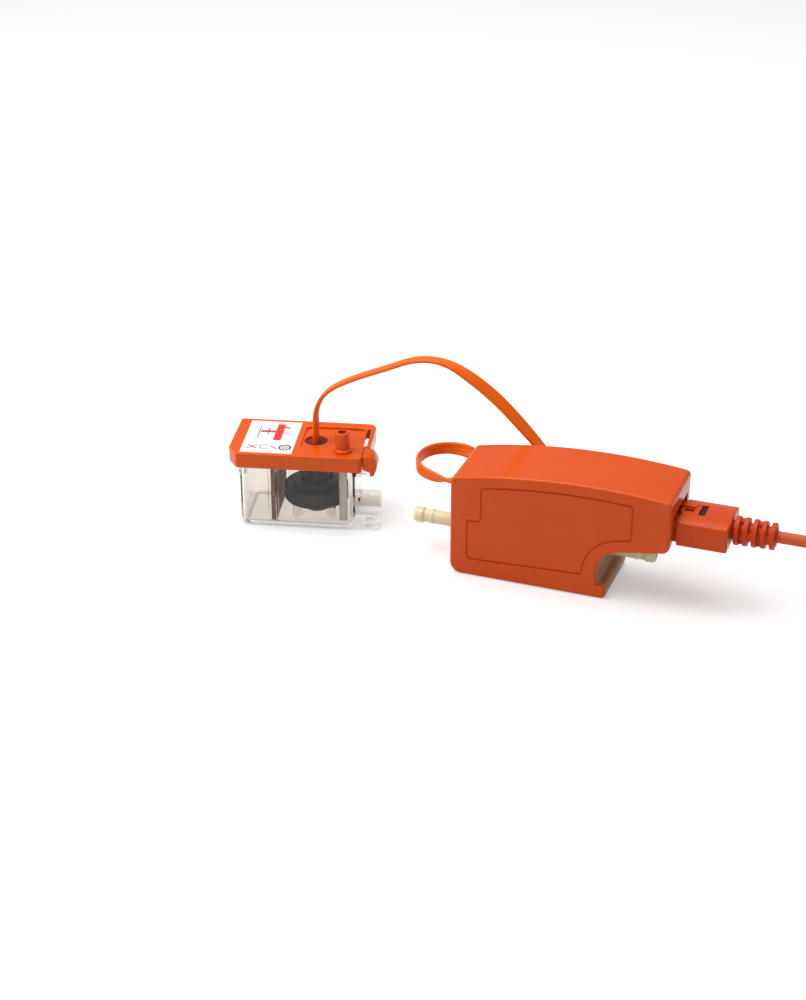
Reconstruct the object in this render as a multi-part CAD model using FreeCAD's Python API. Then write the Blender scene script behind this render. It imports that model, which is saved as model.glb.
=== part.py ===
"""Mini condensate pump with its float reservoir, its sensor cable and its mains lead.

Millimetres. The origin is the centre of the pump's plan, on its underside. +X points along the pump towards the
mains plug, +Y to its back and +Z up. The water runs straight through the pump along X, from the inlet barb at its
left end to the outlet barb in the notch under its right half.
"""
import FreeCAD, Part
import math
import os

os.makedirs("parts", exist_ok=True)

# Fits between pieces
FIT = 0.2               # between fixed pieces that nest
RUNNING_FIT = 0.05      # between the piston and its cylinder, on the radius

# Pump housing
HOUSING_LENGTH = 104.0
HOUSING_DEPTH = 38.0
HOUSING_WALL = 2.0
FOOT_LENGTH = 75.6
LEDGE_WIDTH = 5.1
LEDGE_HEIGHT = 6.2
UNDERSIDE_HEIGHT = 28.85
UNDERSIDE_SLOPE = 0.159
NOTCH_ROUND = 12.8
ROOF_LEFT_HEIGHT = 49.4
ROOF_CROWN_HEIGHT = 56.1
ROOF_RIGHT_HEIGHT = 53.9
FOOT_ROUND = 5.5
TOE_ROUND = 2.2
ROOF_ROUND = 2.4
EDGE_ROUND = 1.5
GROOVE_WIDTH = 0.9
GROOVE_DEPTH = 0.5
PANEL_MARGIN = 5.2
PANEL_STEP_HEIGHT = 29.5
PANEL_FOOT_HEIGHT = 8.5
PLUG_OPENING_WIDTH = 27.5
PLUG_OPENING_TOP = 45.2
RAIL_WIDTH = 1.6
BOARD_HEIGHT = 36.0
BOSS_RADIUS = 3.2
BOSS_TOP = 12.0
SCREW_DIAMETER = 2.9
SCREW_HEAD_DIAMETER = 5.4
COVER_THICKNESS = 1.8
COVER_PAD_HEIGHT = 2.9

# Water path
BARB_LENGTH = 23.8
BARB_ROOT_RADIUS = 3.85
BARB_SHAFT_RADIUS = 3.3
BARB_RING_RADIUS = 3.55
BARB_LAND_RADIUS = 3.8
WATER_BORE_RADIUS = 1.5
FLANGE_RADIUS = 8.0
FLANGE_THICKNESS = 2.6
SPIGOT_LENGTH = 7.2
CYLINDER_RADIUS = 5.5
CYLINDER_WALL = 0.7
PISTON_LENGTH = 24.0
PISTON_CENTRE = -18.0
VALVE_CHAMBER_RADIUS = 2.6
VALVE_CHAMBER_LENGTH = 11.0
VALVE_SEAT_RADIUS = 1.4
VALVE_SEAT_LENGTH = 2.0
BALL_RADIUS = 2.0
O_RING_SECTION = 0.7
MOUNT_RADIUS = 11.0
MOUNT_LENGTH = 6.0
YOKE_LEFT = -35.2
YOKE_LENGTH = 34.4
YOKE_DEPTH = 33.2
YOKE_HEIGHT = 30.0
YOKE_THICKNESS = 2.0
YOKE_CLEARANCE = 0.5
BOBBIN_FLANGE_RADIUS = 14.4
BOBBIN_FLANGE = 1.2
BOBBIN_WALL = 1.0
WINDING_RADIUS = 13.4
POLE_RING_RADIUS = 6.5
POLE_RING_LENGTH = 11.0
MAIN_SPRING_WIRE = 0.8
MAIN_SPRING_RADIUS = 3.9
VALVE_SPRING_WIRE = 0.5
VALVE_SPRING_RADIUS = 1.9

# Electronics
BOARD_THICKNESS = 1.6
BOARD_RIGHT = 33.0
PIN_PITCH = 5.0
PIN_RADIUS = 0.75
SOCKET_WALL = 1.2

# Mains plug and lead
PLUG_LENGTH = 23.0
PLUG_WIDTH = 25.5
PLUG_GAP = 1.5
PLUG_BOTTOM = 30.5
PLUG_EDGE_HEIGHT = 42.3
PLUG_CROWN_HEIGHT = 44.0
NOSE_WIDTH = 23.0
NOSE_HEIGHT = 10.2
NOSE_LENGTH = 11.3
LATCH_WIDTH = 8.0
LATCH_LENGTH = 7.4
RELIEF_HEIGHT = 37.0
RELIEF_PITCH = 4.05
RELIEF_RINGS = 5
RELIEF_RING_THICKNESS = 2.3
RELIEF_CORE_RADIUS = 4.3
RELIEF_RING_RADIUS = 6.75
RELIEF_LENGTH = 20.0
LEAD_DIAMETER = 5.6
COIL_CENTRE = (202.0, -4.0)
COIL_INNER_RADIUS = 22.5
COIL_PITCH = 6.15
COIL_TURNS = 3
COIL_FLOOR_GAP = 0.9
COIL_ENTRY_ANGLE = 120.0
# Angle, radius and height about the coil's centre
TAIL_POINTS = [
    (85.9, 44.9, 10.9), (72.9, 44.2, 12.7), (59.8, 42.1, 15.0), (46.4, 38.4, 16.5), (32.2, 33.4, 16.6),
    (17.6, 27.7, 16.1)]
CORE_DIAMETER = 1.6
CORE_LENGTH = 20.0
FERRULE_LENGTH = 8.0

# Reservoir, in its own frame: the corner of its lid is at 0, 0
RESERVOIR_PLACE = (-163.9, -12.8)
RESERVOIR_TURN = 14.1
RESERVOIR_HEIGHT = 40.0
TUB_LEFT = 0.9
TUB_FRONT = 2.0
TUB_LENGTH = 56.5
TUB_DEPTH = 36.3
TUB_WALL = 1.6
TUB_FLOOR = 1.8
TUB_CORNER = 4.0
TUB_BASE_ROUND = 3.5
LID_THICKNESS = 2.0
LID_SKIRT = 7.5
LID_WALL = 1.6
LID_OVERHANG = 3.8
LID_BACK_OVERHANG = 2.0
CLIP_SHELF = 2.9
STEM_FROM_RIGHT = 20.9
STEM_FROM_FRONT = 18.2
STEM_RADIUS = 6.5
STEM_BORE_RADIUS = 5.65
STEM_BOTTOM = 3.5
FLOAT_RADIUS = 16.0
FLOAT_HEIGHT = 7.7
FLOAT_REST = 9.2
FLOAT_BORE_RADIUS = 7.5
MAGNET_OUTER_RADIUS = 11.0
MAGNET_INNER_RADIUS = 8.5
MAGNET_HEIGHT = 2.9
SPOUT_FROM_RIGHT = 6.2
SPOUT_FROM_FRONT = 6.7
SPOUT_RADIUS = 3.5
SPOUT_BORE_RADIUS = 2.1
SPOUT_TOP = 50.0
INLET_HEIGHT = 8.6
INLET_RADIUS = 4.4
INLET_BORE_RADIUS = 3.1
INLET_LENGTH = 10.7
SCREEN_CLEARANCE = 2.0
SCREEN_THICKNESS = 2.0
SCREEN_HEIGHT = 31.0

# Sensor cable
RIBBON_WIDTH = 6.2
RIBBON_THICKNESS = 2.0
RIBBON_ENTRY = (-3.5, 39.8)     # y and z where it enters the pump's left end

V = FreeCAD.Vector
left_end = -HOUSING_LENGTH / 2
right_end = HOUSING_LENGTH / 2
front = -HOUSING_DEPTH / 2
back = HOUSING_DEPTH / 2
foot_end = left_end + FOOT_LENGTH
notch_wall = foot_end - LEDGE_WIDTH
inner_depth = HOUSING_DEPTH / 2 - HOUSING_WALL
water_axis = COVER_THICKNESS + YOKE_CLEARANCE + YOKE_HEIGHT / 2
inlet_flange = left_end + HOUSING_WALL + FIT
outlet_flange = notch_wall - COVER_THICKNESS - FIT
cylinder_left = inlet_flange + FLANGE_THICKNESS + FIT
cylinder_right = outlet_flange - FLANGE_THICKNESS - FIT
cylinder_bore = CYLINDER_RADIUS - CYLINDER_WALL
spigot_radius = cylinder_bore - 0.15
spigot_left_end = inlet_flange + FLANGE_THICKNESS + SPIGOT_LENGTH
chamber_end = outlet_flange - FLANGE_THICKNESS - FIT + 1.5
chamber_start = chamber_end - VALVE_CHAMBER_LENGTH
mount_left = cylinder_left + 1.0
mount_right = cylinder_right - 1.0 - MOUNT_LENGTH
yoke_right = YOKE_LEFT + YOKE_LENGTH
bobbin_left = YOKE_LEFT + YOKE_THICKNESS + FIT
bobbin_right = yoke_right - YOKE_THICKNESS - FIT
bobbin_bore = POLE_RING_RADIUS + FIT
piston_left = PISTON_CENTRE - PISTON_LENGTH / 2
piston_right = PISTON_CENTRE + PISTON_LENGTH / 2
piston_radius = cylinder_bore - RUNNING_FIT
board_top = BOARD_HEIGHT + BOARD_THICKNESS
plug_front = right_end + PLUG_GAP
plug_back = plug_front + PLUG_LENGTH
nose_front = plug_front - NOSE_LENGTH - PLUG_GAP
nose_bottom = PLUG_BOTTOM + 1.3
socket_left = nose_front - 2.0 - SOCKET_WALL
pin_height = board_top + 1.6
relief_end = plug_back + RELIEF_LENGTH
tub_right = TUB_LEFT + TUB_LENGTH
tub_back = TUB_FRONT + TUB_DEPTH
lid_right = tub_right + LID_OVERHANG
stem_place = (tub_right - STEM_FROM_RIGHT, TUB_FRONT + STEM_FROM_FRONT)
spout_place = (tub_right - SPOUT_FROM_RIGHT, TUB_FRONT + SPOUT_FROM_FRONT)
screen_right = stem_place[0] - FLOAT_RADIUS - SCREEN_CLEARANCE
screen_left = screen_right - SCREEN_THICKNESS
lid_underside = RESERVOIR_HEIGHT - LID_THICKNESS
tub_height = lid_underside - FIT
seat_face = chamber_start + FIT + VALVE_SEAT_LENGTH
ball_centre = seat_face + math.sqrt(BALL_RADIUS ** 2 - VALVE_SEAT_RADIUS ** 2) + 0.05


def on_plan(a, b):
    return V(a, b, 0)


def on_side(a, b):
    return V(a, 0, b)


def on_end(a, b):
    return V(0, a, b)


def box(x0, x1, y0, y1, z0, z1):
    return Part.makeBox(x1 - x0, y1 - y0, z1 - z0, V(x0, y0, z0))


def rod_x(x0, x1, radius, y=0.0, z=water_axis):
    return Part.makeCylinder(radius, x1 - x0, V(x0, y, z), V(1, 0, 0))


def rod_y(y0, y1, radius, x, z):
    return Part.makeCylinder(radius, y1 - y0, V(x, y0, z), V(0, 1, 0))


def rod_z(z0, z1, radius, x=0.0, y=0.0):
    return Part.makeCylinder(radius, z1 - z0, V(x, y, z0))


def ring_x(x0, x1, outer, inner, y=0.0, z=water_axis):
    return rod_x(x0, x1, outer, y, z).cut(rod_x(x0 - 1, x1 + 1, inner, y, z))


def ring_z(z0, z1, outer, inner, x=0.0, y=0.0):
    return rod_z(z0, z1, outer, x, y).cut(rod_z(z0 - 1, z1 + 1, inner, x, y))


def fuse(first, *others):
    joined = first.multiFuse([o for o in others])
    return joined.removeSplitter()


def unit(v):
    return V(v).multiply(1.0 / v.Length)


def round_corner(before, corner, after, radius):
    """The two ends and the middle of the arc that rounds a corner of an outline."""
    a = unit(before - corner)
    b = unit(after - corner)
    half = a.getAngle(b) / 2
    reach = radius / math.tan(half)
    centre = corner + unit(a + b) * (radius / math.sin(half))
    middle = centre - unit(a + b) * radius
    return corner + a * reach, middle, corner + b * reach


def chain_edges(start, corners, end, lay):
    """Straight edges from start to end through rounded corners, each (a, b, radius)."""
    edges = []
    points = [lay(*start)] + [lay(c[0], c[1]) for c in corners] + [lay(*end)]
    here = points[0]
    for before, corner, after, (_, _, radius) in zip(points, points[1:], points[2:], corners):
        first, middle, last = corner, None, corner
        if radius > 0:
            first, middle, last = round_corner(before, corner, after, radius)
        if (first - here).Length > 1e-6:
            edges.append(Part.makeLine(here, first))
        if radius > 0:
            edges.append(Part.Arc(first, middle, last).toShape())
        here = last
    if (points[-1] - here).Length > 1e-6:
        edges.append(Part.makeLine(here, points[-1]))
    return edges


def face(corners, lay):
    """A flat face inside a closed outline of corners, each (a, b) or (a, b, radius)."""
    corners = [c if len(c) == 3 else (c[0], c[1], 0) for c in corners]
    (a0, b0, _), (a1, b1, _) = corners[-1], corners[0]
    start = ((a0 + a1) / 2, (b0 + b1) / 2)
    return Part.Face(Part.Wire(chain_edges(start, corners, start, lay)))


def plan_slab(corners, z0, z1):
    slab = face(corners, on_plan).extrude(V(0, 0, z1 - z0))
    slab.translate(V(0, 0, z0))
    return slab


def side_slab(corners, y0, y1):
    slab = face(corners, on_side).extrude(V(0, y1 - y0, 0))
    slab.translate(V(0, y0, 0))
    return slab


def end_slab(corners, x0, x1):
    slab = face(corners, on_end).extrude(V(x1 - x0, 0, 0))
    slab.translate(V(x0, 0, 0))
    return slab


def rectangle(a0, a1, b0, b1, radius=0.0):
    return [(a0, b0, radius), (a1, b0, radius), (a1, b1, radius), (a0, b1, radius)]


def turned_x(profile, y=0.0, z=water_axis):
    """A piece turned round the X axis from an outline of (x, radius) points."""
    turned = face(profile, on_side).revolve(V(0, 0, 0), V(1, 0, 0), 360)
    turned.translate(V(0, y, z))
    return turned


def turned_z(profile, x=0.0, y=0.0):
    """A piece turned round the Z axis from an outline of (radius, z) points."""
    turned = face(profile, on_side).revolve(V(0, 0, 0), V(0, 0, 1), 360)
    turned.translate(V(x, y, 0))
    return turned


def circle_through(p, q, r):
    """Centre and radius of the circle through three (a, b) points."""
    (ax, ay), (bx, by), (cx, cy) = p, q, r
    d = 2 * (ax * (by - cy) + bx * (cy - ay) + cx * (ay - by))
    a2 = ax * ax + ay * ay
    b2 = bx * bx + by * by
    c2 = cx * cx + cy * cy
    u = (a2 * (by - cy) + b2 * (cy - ay) + c2 * (ay - by)) / d
    v = (a2 * (cx - bx) + b2 * (ax - cx) + c2 * (bx - ax)) / d
    return u, v, math.hypot(ax - u, ay - v)


def roofed_face(corners, roof, inset, rounds, lay):
    """A face with straight rounded sides under an arched top.

    The corners run from the left side round the bottom to the right side, the roof is (centre a, centre b,
    radius), lowered by the inset, and the rounds are the radii of its left and right corner.
    """
    centre_a, centre_b, radius = roof
    radius -= inset
    ends = []
    for side, (a, towards) in zip(rounds, ((corners[0][0], 1), (corners[-1][0], -1))):
        r = max(side - inset, 0.3)
        round_a = a + towards * r
        round_b = centre_b + math.sqrt((radius - r) ** 2 - (round_a - centre_a) ** 2)
        out = unit(V(round_a - centre_a, round_b - centre_b, 0))
        on_roof = (round_a + out.x * r, round_b + out.y * r)
        turn = unit(out + V(-towards, 0, 0))
        middle = (round_a + turn.x * r, round_b + turn.y * r)
        ends.append(((a, round_b), middle, on_roof))
    (left, left_middle, left_roof), (right, right_middle, right_roof) = ends
    edges = chain_edges(left, corners, right, lay)
    edges.append(Part.Arc(lay(*right), lay(*right_middle), lay(*right_roof)).toShape())
    crown = (centre_a, centre_b + radius)
    edges.append(Part.Arc(lay(*right_roof), lay(*crown), lay(*left_roof)).toShape())
    edges.append(Part.Arc(lay(*left_roof), lay(*left_middle), lay(*left)).toShape())
    return Part.Face(Part.Wire(edges))


def moved_in(corners, distances):
    """The corners of an outline whose sides are moved in, one distance for each side, left side first."""
    far = 1000.0
    points = [V(corners[0][0], far, 0)] + [V(c[0], c[1], 0) for c in corners] + [V(corners[-1][0], far, 0)]
    lines = []
    for p, q, distance in zip(points, points[1:], distances):
        along = unit(q - p)
        lines.append((p + V(-along.y, along.x, 0) * distance, along))
    result = []
    for i, (_, _, radius) in enumerate(corners):
        (p, d), (q, e) = lines[i], lines[i + 1]
        bend = d.x * e.y - d.y * e.x
        step = ((q.x - p.x) * e.y - (q.y - p.y) * e.x) / bend
        here = p + d * step
        distance = (distances[i] + distances[i + 1]) / 2
        rounded = radius - distance if bend > 0 else radius + distance
        result.append((here.x, here.y, max(rounded, 0.3)))
    return result


def save(name, *pieces):
    """Writes one sub-part, of one solid or a group of them, and says what it measures."""
    shape = pieces[0] if len(pieces) == 1 else Part.makeCompound(list(pieces))
    solids = shape.Solids
    if not shape.isValid() or not solids:
        raise ValueError(name + " isn't a sound solid")
    shape = solids[0] if len(solids) == 1 else Part.makeCompound(solids)
    shape.exportStep("parts/" + name + ".step")
    print(f"{name}: {len(solids)} solids, {shape.Volume:.1f} mm3")


# Pump housing and base cover

roof_circle = circle_through(
    (left_end, ROOF_LEFT_HEIGHT), (0.0, ROOF_CROWN_HEIGHT), (right_end, ROOF_RIGHT_HEIGHT))


def underside(x, inset=0.0):
    """Height of the slanted underside of the electronics half."""
    slant = math.hypot(1, UNDERSIDE_SLOPE)
    return UNDERSIDE_HEIGHT + (x - right_end) * UNDERSIDE_SLOPE + inset * slant


side_corners = [
    (left_end, 0.0, FOOT_ROUND),
    (foot_end, 0.0, TOE_ROUND),
    (foot_end, LEDGE_HEIGHT, TOE_ROUND),
    (notch_wall, LEDGE_HEIGHT, TOE_ROUND),
    (notch_wall, underside(notch_wall), NOTCH_ROUND),
    (right_end, underside(right_end), 4.0),
]


def side_outline(inset, under):
    """The pump's outline from the front, moved in by one distance and by another along its bottom."""
    corners = moved_in(side_corners, [inset] + [under] * 5 + [inset])
    return roofed_face(corners, roof_circle, inset, (ROOF_ROUND, ROOF_ROUND), on_side)


def slice_y(outline, y0, y1):
    slab = outline.extrude(V(0, y1 - y0, 0))
    slab.translate(V(0, y0, 0))
    return slab


def screw_places():
    """Where the four base screws stand."""
    left = left_end + HOUSING_WALL + BOSS_RADIUS - 0.1
    right = notch_wall - COVER_THICKNESS - FIT - BOSS_RADIUS
    across = inner_depth - BOSS_RADIUS + 0.1
    return [(x, y) for x in (left, right) for y in (-across, across)]


def panel_groove():
    """The shallow groove that frames the front and back face."""
    margin = 6.0
    panel = [
        (-37.3, PANEL_STEP_HEIGHT, 1.2),
        (-43.9, PANEL_STEP_HEIGHT, 2.0),
        (-43.9, PANEL_FOOT_HEIGHT, 3.0),
        (notch_wall - margin, PANEL_FOOT_HEIGHT + 2.4, 2.0),
        (notch_wall - margin, underside(notch_wall - margin, margin), NOTCH_ROUND + margin),
        (34.9, underside(34.9, margin), 2.5),
    ]
    outer = roofed_face(panel, roof_circle, PANEL_MARGIN, (PANEL_MARGIN + 2.5,) * 2, on_side)
    inside = moved_in(panel, [GROOVE_WIDTH] * 7)
    inner = roofed_face(inside, roof_circle, PANEL_MARGIN + GROOVE_WIDTH, (PANEL_MARGIN + 2.5,) * 2, on_side)
    ring = outer.cut(inner)
    cuts = []
    for y0 in (front - 1, back - GROOVE_DEPTH):
        cuts.append(slice_y(ring, y0, y0 + 1 + GROOVE_DEPTH))
    return cuts


def pump_housing():
    """One moulded shell, open below, that carries the board on rails and the base cover on four bosses."""
    block = slice_y(side_outline(0, 0), front, back)
    rims = [e for e in block.Edges if abs(abs(e.CenterOfMass.y) - HOUSING_DEPTH / 2) < 1e-6]
    shell = block.makeFillet(EDGE_ROUND, rims)
    shell = shell.cut(slice_y(side_outline(HOUSING_WALL, -5.0), -inner_depth, inner_depth))
    for groove in panel_groove():
        shell = shell.cut(groove)
    rail_start = left_end + HOUSING_WALL
    added = []
    for side in (-1, 1):
        y = sorted((side * (inner_depth + 0.5), side * (inner_depth - RAIL_WIDTH)))
        added.append(box(rail_start + 6, BOARD_RIGHT - 3, y[0], y[1], BOARD_HEIGHT - 1.6, BOARD_HEIGHT))
    for x, y in screw_places():
        added.append(rod_z(COVER_PAD_HEIGHT + FIT, BOSS_TOP, BOSS_RADIUS, x, y))
    shell = fuse(shell, *added)
    for x, y in screw_places():
        shell = shell.cut(rod_z(0, BOSS_TOP - 2, SCREW_DIAMETER / 2 + 0.1, x, y))
    half = PLUG_OPENING_WIDTH / 2
    shell = shell.cut(box(right_end - 5, right_end + 1, -half, half, 0, PLUG_OPENING_TOP))
    shell = shell.cut(rod_x(left_end - 1, left_end + 5, BARB_ROOT_RADIUS + FIT))
    return shell.cut(end_slab(gland_outline(FIT), left_end - 1, left_end + 5))


def base_cover():
    """The plate that closes the foot, the notch and the slanted underside, with a saddle for each mount."""
    across = inner_depth - FIT
    outside = slice_y(side_outline(HOUSING_WALL + FIT, 0), -across, across)
    above = slice_y(side_outline(-5.0, COVER_THICKNESS), -across - 1, across + 1)
    band = outside.cut(above)
    added = []
    for x in (mount_left, mount_right):
        added.append(box(x, x + MOUNT_LENGTH, -7, 7, 1, 9.5))
    for x, y in screw_places():
        added.append(rod_z(1, COVER_PAD_HEIGHT, BOSS_RADIUS, x, y).common(outside))
    plate = fuse(band, *added)
    plate = plate.cut(rod_x(left_end, notch_wall - COVER_THICKNESS - 1, MOUNT_RADIUS + FIT))
    plate = plate.cut(rod_x(0, foot_end, BARB_ROOT_RADIUS + FIT))
    for x, y in screw_places():
        plate = plate.cut(rod_z(-1, 5, SCREW_DIAMETER / 2 + 0.1, x, y))
        plate = plate.cut(rod_z(-1, 1.8, SCREW_HEAD_DIAMETER / 2 + FIT, x, y))
    return plate


def base_screws():
    """Four pan-head screws from below."""
    screws = []
    for x, y in screw_places():
        head = rod_z(0.3, 1.75, SCREW_HEAD_DIAMETER / 2, x, y)
        slot = box(x - 2, x + 2, y - 0.35, y + 0.35, 0, 0.9)
        screws.append(fuse(head, rod_z(1.7, BOSS_TOP - 3, SCREW_DIAMETER / 2, x, y)).cut(slot))
    return screws


# Water path

def barb_profile():
    """Distance out of the wall and radius of a hose barb: root, shaft, ring, waist, land, tip."""
    length = BARB_LENGTH
    return [
        (1.5, BARB_ROOT_RADIUS), (2.1, BARB_SHAFT_RADIUS), (length * 0.58, BARB_SHAFT_RADIUS),
        (length * 0.6, BARB_RING_RADIUS), (length * 0.64, BARB_RING_RADIUS), (length * 0.66, 3.2),
        (length - 5.2, 3.2), (length - 4.4, BARB_LAND_RADIUS), (length - 1.2, BARB_LAND_RADIUS), (length, 3.1),
    ]


def fitting_profile(wall, spigot):
    """Outline of a fitting from the end of its spigot, s < 0, to the tip of its barb, without its bore."""
    flange = -wall - FIT
    inner = flange - FLANGE_THICKNESS
    groove = inner - 3.4
    grooved = [
        (inner - spigot, spigot_radius),
        (groove - 2.2 * O_RING_SECTION, spigot_radius), (groove - 2.2 * O_RING_SECTION, 3.3),
        (groove, 3.3), (groove, spigot_radius), (inner, spigot_radius),
        (inner, FLANGE_RADIUS), (flange, FLANGE_RADIUS), (flange, BARB_ROOT_RADIUS),
    ]
    return [(inner - spigot, WATER_BORE_RADIUS)] + grooved + barb_profile() + [(BARB_LENGTH, WATER_BORE_RADIUS)]


def inlet_fitting():
    profile = [(left_end - s, r) for s, r in fitting_profile(HOUSING_WALL, SPIGOT_LENGTH)]
    return turned_x(profile)


def outlet_fitting():
    """The fitting in the notch. Its spigot holds the outlet valve in a chamber."""
    spigot = outlet_flange - FLANGE_THICKNESS - chamber_start
    profile = [(notch_wall + s, r) for s, r in fitting_profile(COVER_THICKNESS, spigot)]
    return turned_x(profile).cut(rod_x(chamber_start - 1, chamber_end, VALVE_CHAMBER_RADIUS))


def o_rings():
    rings = []
    for face_x, side in ((inlet_flange + FLANGE_THICKNESS, 1), (outlet_flange - FLANGE_THICKNESS, -1)):
        x = face_x + side * (3.4 + 1.1 * O_RING_SECTION)
        radius = 3.3 + O_RING_SECTION + 0.03
        rings.append(Part.makeTorus(radius, O_RING_SECTION, V(x, 0, water_axis), V(1, 0, 0)))
    return rings


def pump_cylinder():
    return ring_x(cylinder_left, cylinder_right, CYLINDER_RADIUS, cylinder_bore)


def piston():
    """A steel plunger with the water's bore through it and the suction valve's recess in its right end."""
    profile = [
        (piston_left, WATER_BORE_RADIUS), (piston_left, piston_radius - 0.5),
        (piston_left + 0.5, piston_radius), (piston_right - 0.5, piston_radius),
        (piston_right, piston_radius - 0.5), (piston_right, WATER_BORE_RADIUS),
    ]
    return turned_x(profile).cut(rod_x(piston_right - 3.0, piston_right + 1, 3.0))


def suction_valve():
    """A disc that lifts off the piston's bore, on a cross-shaped guide."""
    face_x = piston_right - 3.0 + 0.05
    disc = rod_x(face_x, face_x + 0.9, 2.4)
    guide = WATER_BORE_RADIUS - 0.15
    bar = rod_x(face_x - 6.0, face_x + 0.1, guide)
    cross = fuse(
        box(face_x - 7, face_x + 1, -0.4, 0.4, water_axis - 3, water_axis + 3),
        box(face_x - 7, face_x + 1, -3, 3, water_axis - 0.4, water_axis + 0.4))
    return fuse(disc, bar.common(cross))


def valve_seat():
    return ring_x(chamber_start + FIT, seat_face, VALVE_CHAMBER_RADIUS - 0.05, VALVE_SEAT_RADIUS)


def outlet_valve():
    return Part.makeSphere(BALL_RADIUS, V(ball_centre, 0, water_axis))


def rubber_mounts():
    """Two soft rings between the cylinder and the saddles of the base cover."""
    return [
        turned_x([
            (x, CYLINDER_RADIUS + FIT), (x + MOUNT_LENGTH, CYLINDER_RADIUS + FIT),
            (x + MOUNT_LENGTH, MOUNT_RADIUS, 1.0), (x, MOUNT_RADIUS, 1.0)])
        for x in (mount_left, mount_right)]


def solenoid_frame():
    """A steel box, open above and below, whose end plates carry the pole rings."""
    half = YOKE_DEPTH / 2
    low = water_axis - YOKE_HEIGHT / 2
    high = water_axis + YOKE_HEIGHT / 2
    frame = box(YOKE_LEFT, yoke_right, -half, half, low, high)
    inside = half - YOKE_THICKNESS + FIT
    frame = frame.cut(box(YOKE_LEFT + YOKE_THICKNESS, yoke_right - YOKE_THICKNESS, -inside, inside, 0, high + 1))
    for z0, z1 in ((low - 1, low + 5), (high - 5, high + 1)):
        frame = frame.cut(box(YOKE_LEFT + 6, yoke_right - 6, -half - 1, half + 1, z0, z1))
    return frame.cut(rod_x(YOKE_LEFT - 1, yoke_right + 1, POLE_RING_RADIUS + FIT))


def solenoid_bobbin():
    """The spool of the winding, with a block on its right flange that holds the two coil pins."""
    core = bobbin_bore + BOBBIN_WALL
    spool = turned_x([
        (bobbin_left, bobbin_bore), (bobbin_right, bobbin_bore), (bobbin_right, BOBBIN_FLANGE_RADIUS),
        (bobbin_right - BOBBIN_FLANGE, BOBBIN_FLANGE_RADIUS), (bobbin_right - BOBBIN_FLANGE, core),
        (bobbin_left + BOBBIN_FLANGE, core), (bobbin_left + BOBBIN_FLANGE, BOBBIN_FLANGE_RADIUS),
        (bobbin_left, BOBBIN_FLANGE_RADIUS)])
    top = water_axis + BOBBIN_FLANGE_RADIUS
    block = box(bobbin_right - 5, bobbin_right, -5, 5, top - 0.6, top + 1.6)
    return fuse(spool, block)


def solenoid_winding():
    """The copper winding, slightly crowned between the flanges."""
    start = bobbin_left + BOBBIN_FLANGE + FIT
    end = bobbin_right - BOBBIN_FLANGE - FIT
    inner = bobbin_bore + BOBBIN_WALL + FIT
    crown = (end - start) / 4
    return turned_x([
        (start, inner), (end, inner), (end, WINDING_RADIUS - 0.6), (end - crown, WINDING_RADIUS),
        (start + crown, WINDING_RADIUS), (start, WINDING_RADIUS - 0.6)])


def coil_pin_places():
    return [(bobbin_right - 2.5, y) for y in (-3.0, 3.0)]


def coil_pins():
    """Two pins from the bobbin's block through the board."""
    start = water_axis + BOBBIN_FLANGE_RADIUS + 1.6
    return [rod_z(start, board_top + 1.2, 0.5, x, y) for x, y in coil_pin_places()]


def pole_rings():
    start = YOKE_LEFT
    end = yoke_right
    inner = CYLINDER_RADIUS + 0.15
    return [
        ring_x(start, start + POLE_RING_LENGTH, POLE_RING_RADIUS, inner),
        ring_x(end - POLE_RING_LENGTH, end, POLE_RING_RADIUS, inner)]


def thermal_cutout():
    """A flat temperature switch that lies on the winding."""
    low = water_axis + WINDING_RADIUS + FIT
    middle = (bobbin_left + bobbin_right) / 2
    return plan_slab(rectangle(middle - 7, middle + 5, -3.2, 3.2, 1.2), low, low + 2.2)


# Springs and cords

def half_turn_arc(start, tangent_length, start_tangent, end):
    """An arc that leaves start along its tangent, where both tangents meet after the given length."""
    peak = start + start_tangent * tangent_length
    turn = start_tangent.getAngle(end - peak)
    if turn < 1e-5:
        return Part.makeLine(start, end)
    foot = (start + end) * 0.5
    middle = foot + (peak - foot) * (math.tan(turn / 4) / math.tan(turn / 2))
    return Part.Arc(start, middle, end).toShape()


def biarc(p0, t0, p1, t1):
    """Two arcs in space that join two points along their two directions."""
    v = p1 - p0
    a = 2 * (t0.dot(t1) - 1)
    b = -2 * v.dot(t0 + t1)
    c = v.dot(v)
    if abs(a) < 1e-9:
        d = -c / b
    else:
        d = (-b - math.sqrt(b * b - 4 * a * c)) / (2 * a)
    joint = (p0 + t0 * d + p1 - t1 * d) * 0.5
    return [half_turn_arc(p0, d, t0, joint), half_turn_arc(p1, d, t1 * -1, joint)]


def swept(edges, radius, start, tangent):
    """A round wire along edges that follow each other smoothly."""
    section = Part.Wire(Part.Circle(start, tangent, radius).toShape())
    path = Part.Wire(edges)
    return path.makePipeShell([section], True, False), path.Length


def along_curve(place, s0, s1, step):
    """Biarcs and end directions along a curve that a function of one angle gives in degrees."""
    def direction(s):
        return unit(place(s + 0.5) - place(s - 0.5))
    steps = round((s1 - s0) / step)
    edges = []
    for i in range(steps):
        a = s0 + i * step
        b = s0 + (i + 1) * step
        edges += biarc(place(a), direction(a), place(b), direction(b))
    return edges, (place(s0), direction(s0)), (place(s1), direction(s1))


def least_gap(place, s0, s1, diameter):
    """Least gap between the turns of a wound wire, measured on points a few degrees apart."""
    points = [(s, place(s)) for s in range(int(s0), int(s1) + 1, 6)]
    gaps = [(p - q).Length for i, (s, p) in enumerate(points) for t, q in points[i + 1:] if t - s > 180]
    return min(gaps) - diameter


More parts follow.
